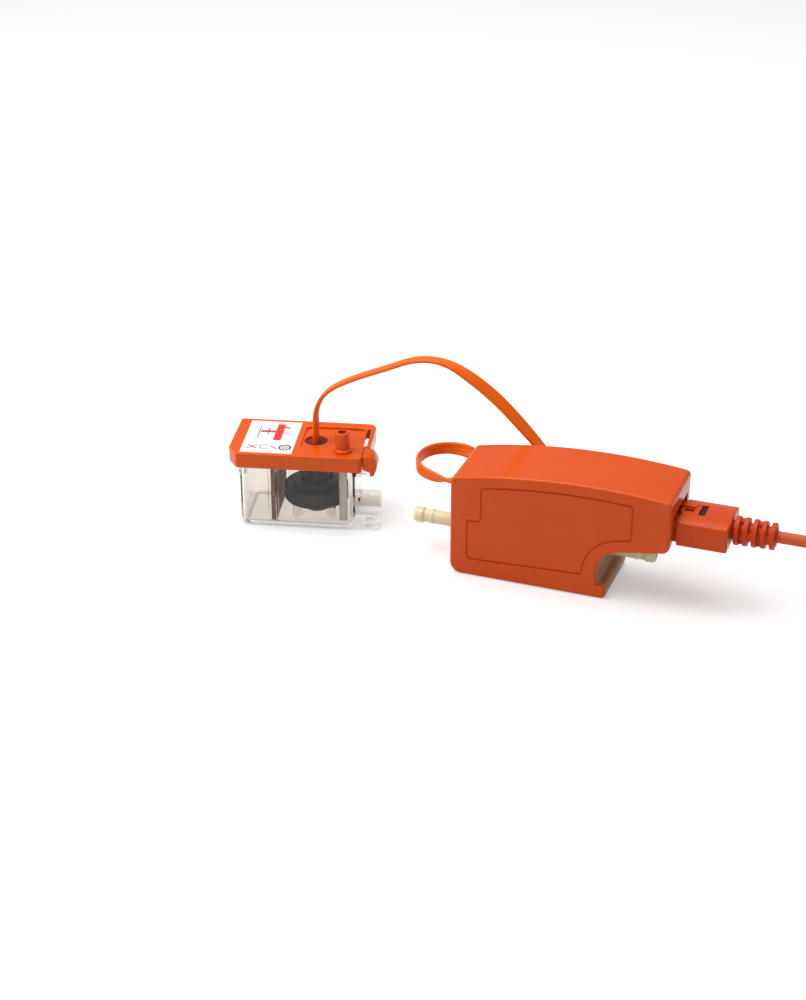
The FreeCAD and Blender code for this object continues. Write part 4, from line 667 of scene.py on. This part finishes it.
def sensor_ribbon():
    """The flat cable: one section carried along a line from the lid's seal to the pump's gland."""
    controls = ribbon_controls()
    line = read_line("ribbon_line", [p for p, _ in controls])
    edge = read_line("ribbon_edge", [p + w * (RIBBON_WIDTH / 2) for p, w in controls])
    section = ribbon_section()
    mesh = bmesh.new()
    rings = []
    for i, here in enumerate(line):
        before = line[max(i - 1, 0)]
        after = line[min(i + 1, len(line) - 1)]
        along = (after - before).normalized()
        wide = edge[i] - here
        wide = (wide - along * wide.dot(along)).normalized()
        thin = along.cross(wide)
        rings.append([mesh.verts.new(here + wide * u + thin * w) for u, w in section])
    for first, second in zip(rings, rings[1:]):
        for i in range(len(section)):
            j = (i + 1) % len(section)
            mesh.faces.new((first[i], first[j], second[j], second[i]))
    mesh.faces.new(rings[0][::-1])
    mesh.faces.new(rings[-1])
    bmesh.ops.recalc_face_normals(mesh, faces=mesh.faces)
    for face in mesh.faces:
        face.smooth = len(face.verts) == 4
    data = bpy.data.meshes.new("sensor_ribbon")
    mesh.to_mesh(data)
    mesh.free()
    data.materials.append(ribbon_orange)
    ribbon = shown("sensor_ribbon", data)
    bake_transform(ribbon)
    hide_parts("sensor_cable_arch", "sensor_cable_back", "sensor_cable_loop")


mains_lead()
sensor_ribbon()


# Label, clip and the painted shade in the latch's openings

def on_lid(mesh):
    """Carries a mesh drawn in the reservoir's own frame to its place."""
    turn = Matrix.Rotation(math.radians(RESERVOIR_TURN), 4, "Z")
    place = Matrix.Translation(metres((*RESERVOIR_PLACE, LID_TOP)))
    bmesh.ops.transform(mesh, matrix=place @ turn, verts=mesh.verts)


def finished(name, mesh, materials, body, slot, *replaced):
    """Turns a mesh's faces outwards and makes it a piece of the object."""
    bmesh.ops.recalc_face_normals(mesh, faces=mesh.faces)
    data = bpy.data.meshes.new(name)
    mesh.to_mesh(data)
    mesh.free()
    for material in materials:
        data.materials.append(material)
    piece = shown(name, data)
    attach(piece, body)
    if replaced:
        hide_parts(*replaced)


def strip(mesh, first, last, width, low, high, material):
    """A flat bar of a set width between two points, in millimetres."""
    first, last = Vector((*first, 0)), Vector((*last, 0))
    along = last - first
    side = Vector((-along.y, along.x, 0)).normalized() * (width / 2)
    plate(mesh, [first + side, first - side, last - side, last + side], low, high, material)


def plate(mesh, corners, low, high, material):
    """A thin plate on an outline, in millimetres."""
    base = [mesh.verts.new(metres((c[0], c[1], low))) for c in corners]
    face = mesh.faces.new(base)
    face.material_index = material
    raised = bmesh.ops.extrude_face_region(mesh, geom=[face])
    top = [g for g in raised["geom"] if isinstance(g, bmesh.types.BMVert)]
    bmesh.ops.translate(mesh, verts=top, vec=(0, 0, (high - low) * MM))
    for part in raised["geom"]:
        if isinstance(part, bmesh.types.BMFace):
            part.material_index = material


def washer(mesh, centre, outer, inner, low, high, material, start, sweep):
    """A flat ring or part of one, in millimetres."""
    middle = metres((*centre, 0))
    turn = Matrix.Rotation(math.radians(start), 4, "Z")
    section = [(inner, low), (outer, low), (outer, high), (inner, high)]
    cap = mesh.faces.new([mesh.verts.new(middle + turn @ metres((r, 0, z))) for r, z in section])
    cap.material_index = material
    whole = sweep == 360
    geometry = list(cap.verts) + list(cap.edges)
    if whole:
        bmesh.ops.delete(mesh, geom=[cap], context="FACES_ONLY")
    else:
        geometry.append(cap)
    earlier = set(mesh.faces)
    bmesh.ops.spin(
        mesh, geom=geometry, cent=middle, axis=(0, 0, 1), angle=math.radians(sweep),
        steps=round(sweep / RING_STEP), use_merge=whole)
    for face in set(mesh.faces) - earlier:
        face.material_index = material


def fitting_label():
    """A white label with a plain drawing of a pipe run: no words, numbers or marks."""
    mesh = bmesh.new()
    plate(mesh, LABEL_CORNERS, 0.0, PAPER_TOP, FILM)
    for first, last, width, colour in LABEL_BARS:
        strip(mesh, first, last, width, PAPER_TOP, INK_TOP, colour)
    for centre, outer, inner, colour, angle, sweep in LABEL_RINGS:
        washer(mesh, centre, outer, inner, PAPER_TOP, INK_TOP, colour, angle, sweep)
    on_lid(mesh)
    inks = (paper, red_ink, grey_ink, dark_ink)
    finished("lid_label", mesh, inks, "lid", "lid_plastic")


def extruded(mesh, outline, reach):
    """A flat outline, in millimetres, drawn out along Y."""
    face = mesh.faces.new([mesh.verts.new(metres(point)) for point in outline])
    raised = bmesh.ops.extrude_face_region(mesh, geom=[face])
    far = [g for g in raised["geom"] if isinstance(g, bmesh.types.BMVert)]
    bmesh.ops.translate(mesh, verts=far, vec=(0, reach * MM, 0))


def rounded(mesh, edges, radius, segments):
    """Rounds edges to a radius in millimetres."""
    bmesh.ops.bevel(
        mesh, geom=edges, offset=radius * MM, segments=segments, profile=0.5, affect="EDGES",
        material=-1)


def lid_clip():
    """The clip: solid beside the lid's skirt, with its hook free round the tub's ledge."""
    mesh = bmesh.new()
    extruded(mesh, [(CLIP_LEFT + u, CLIP_FRONT, z) for u, z in CLIP_OUTLINE], CLIP_WIDTH)
    # The two long outer edges above the hook
    shoulder = [
        e for e in mesh.edges
        if abs(e.verts[0].co.y - e.verts[1].co.y) > MM
        and e.verts[0].co.x > (CLIP_LEFT + 4) * MM and e.verts[0].co.z > -6 * MM]
    rounded(mesh, shoulder, CLIP_SHOULDER_RADIUS, 6)
    sharp = [e for e in mesh.edges if e.calc_face_angle(0) > 0.5]
    rounded(mesh, sharp, CLIP_EDGE_RADIUS, 2)
    for face in mesh.faces:
        face.smooth = True
    on_lid(mesh)
    finished("lid_clip_moulding", mesh, [lid_orange], "clip", "lid_plastic", "lid_clip")


def latch_painted_shade():
    """Painted shade: dark plates that darken the deep openings round the plug's latch, seen from
    above.
    """
    mesh = bmesh.new()
    for left, right, front, back, low in SHADE_PLATE_FLOORS:
        corners = [(left, front), (right, front), (right, back), (left, back)]
        plate(mesh, corners, low, low + SHADE_PLATE_THICKNESS, 0)
    finished("latch_painted_shade", mesh, [painted_shade_red], "mains_lead", "plug_plastic")


fitting_label()
lid_clip()
latch_painted_shade()


# Floor, lamps and camera

def studio_floor():
    """A pale floor with the shadow on it, whitened for the camera, gloss and clear plastic."""
    finish = bpy.data.materials.new("studio_floor")
    finish.use_nodes = True
    tree = finish.node_tree
    tree.nodes.clear()
    output = tree.nodes.new("ShaderNodeOutputMaterial")
    both = tree.nodes.new("ShaderNodeAddShader")
    matt = tree.nodes.new("ShaderNodeBsdfDiffuse")
    matt.inputs["Color"].default_value = (FLOOR_GREY, FLOOR_GREY, FLOOR_GREY, 1.0)
    glow = tree.nodes.new("ShaderNodeEmission")
    rays = tree.nodes.new("ShaderNodeLightPath")
    seen = tree.nodes.new("ShaderNodeMath")
    seen.operation = "MAXIMUM"
    either = tree.nodes.new("ShaderNodeMath")
    either.operation = "MAXIMUM"
    level = tree.nodes.new("ShaderNodeMath")
    level.operation = "MULTIPLY"
    level.inputs[1].default_value = FLOOR_GLOW
    tree.links.new(rays.outputs["Is Camera Ray"], seen.inputs[0])
    tree.links.new(rays.outputs["Is Glossy Ray"], seen.inputs[1])
    tree.links.new(seen.outputs[0], either.inputs[0])
    tree.links.new(rays.outputs["Is Transmission Ray"], either.inputs[1])
    tree.links.new(either.outputs[0], level.inputs[0])
    tree.links.new(level.outputs[0], glow.inputs["Strength"])
    tree.links.new(matt.outputs[0], both.inputs[0])
    tree.links.new(glow.outputs[0], both.inputs[1])
    tree.links.new(both.outputs[0], output.inputs["Surface"])
    mesh = bmesh.new()
    bmesh.ops.create_circle(mesh, cap_ends=True, radius=FLOOR_RADIUS, segments=96)
    data = bpy.data.meshes.new("studio_floor")
    mesh.to_mesh(data)
    mesh.free()
    data.materials.append(finish)
    floor = shown("studio_floor", data)


def studio_world():
    """Even soft light, seen as white by the camera and through clear plastic."""
    world = bpy.data.worlds.new("studio")
    bpy.context.scene.world = world
    world.use_nodes = True
    tree = world.node_tree
    tree.nodes.clear()
    output = tree.nodes.new("ShaderNodeOutputWorld")
    soft = tree.nodes.new("ShaderNodeBackground")
    soft.inputs["Color"].default_value = (1.0, 1.0, 1.0, 1.0)
    rays = tree.nodes.new("ShaderNodeLightPath")
    either = tree.nodes.new("ShaderNodeMath")
    either.operation = "MAXIMUM"
    level = tree.nodes.new("ShaderNodeMapRange")
    level.inputs["To Min"].default_value = WORLD_LEVEL
    level.inputs["To Max"].default_value = 1.0
    tree.links.new(rays.outputs["Is Camera Ray"], either.inputs[0])
    tree.links.new(rays.outputs["Is Transmission Ray"], either.inputs[1])
    tree.links.new(either.outputs[0], level.inputs["Value"])
    tree.links.new(level.outputs["Result"], soft.inputs["Strength"])
    tree.links.new(soft.outputs[0], output.inputs["Surface"])


def softbox(name, place, target, size, power):
    """A rectangular lamp aimed at a point."""
    lamp = bpy.data.lights.new(name, "AREA")
    lamp.shape = "RECTANGLE"
    lamp.size, lamp.size_y = size
    lamp.energy = power
    lamp_object = shown(name, lamp)
    lamp_object.location = place
    aim = Vector(target) - Vector(place)
    lamp_object.rotation_euler = aim.to_track_quat("-Z", "Y").to_euler()


def photo_camera():
    """The camera, at the photograph's angle."""
    camera = bpy.data.cameras.new("camera")
    camera.lens = CAMERA_LENS
    camera.sensor_width = CAMERA_SENSOR
    camera.clip_start = 0.01
    camera_object = shown("camera", camera)
    camera_object.location = CAMERA_PLACE
    pitch = math.radians(CAMERA_PITCH)
    level = Vector((*CAMERA_HEADING, 0)).normalized()
    aim = level * math.cos(pitch) - Vector((0, 0, 1)) * math.sin(pitch)
    camera_object.rotation_euler = aim.to_track_quat("-Z", "Y").to_euler()
    bpy.context.scene.camera = camera_object


studio_floor()
studio_world()
for lamp in LAMPS:
    softbox(**lamp)
photo_camera()

bpy.context.scene.view_settings.view_transform = "Standard"
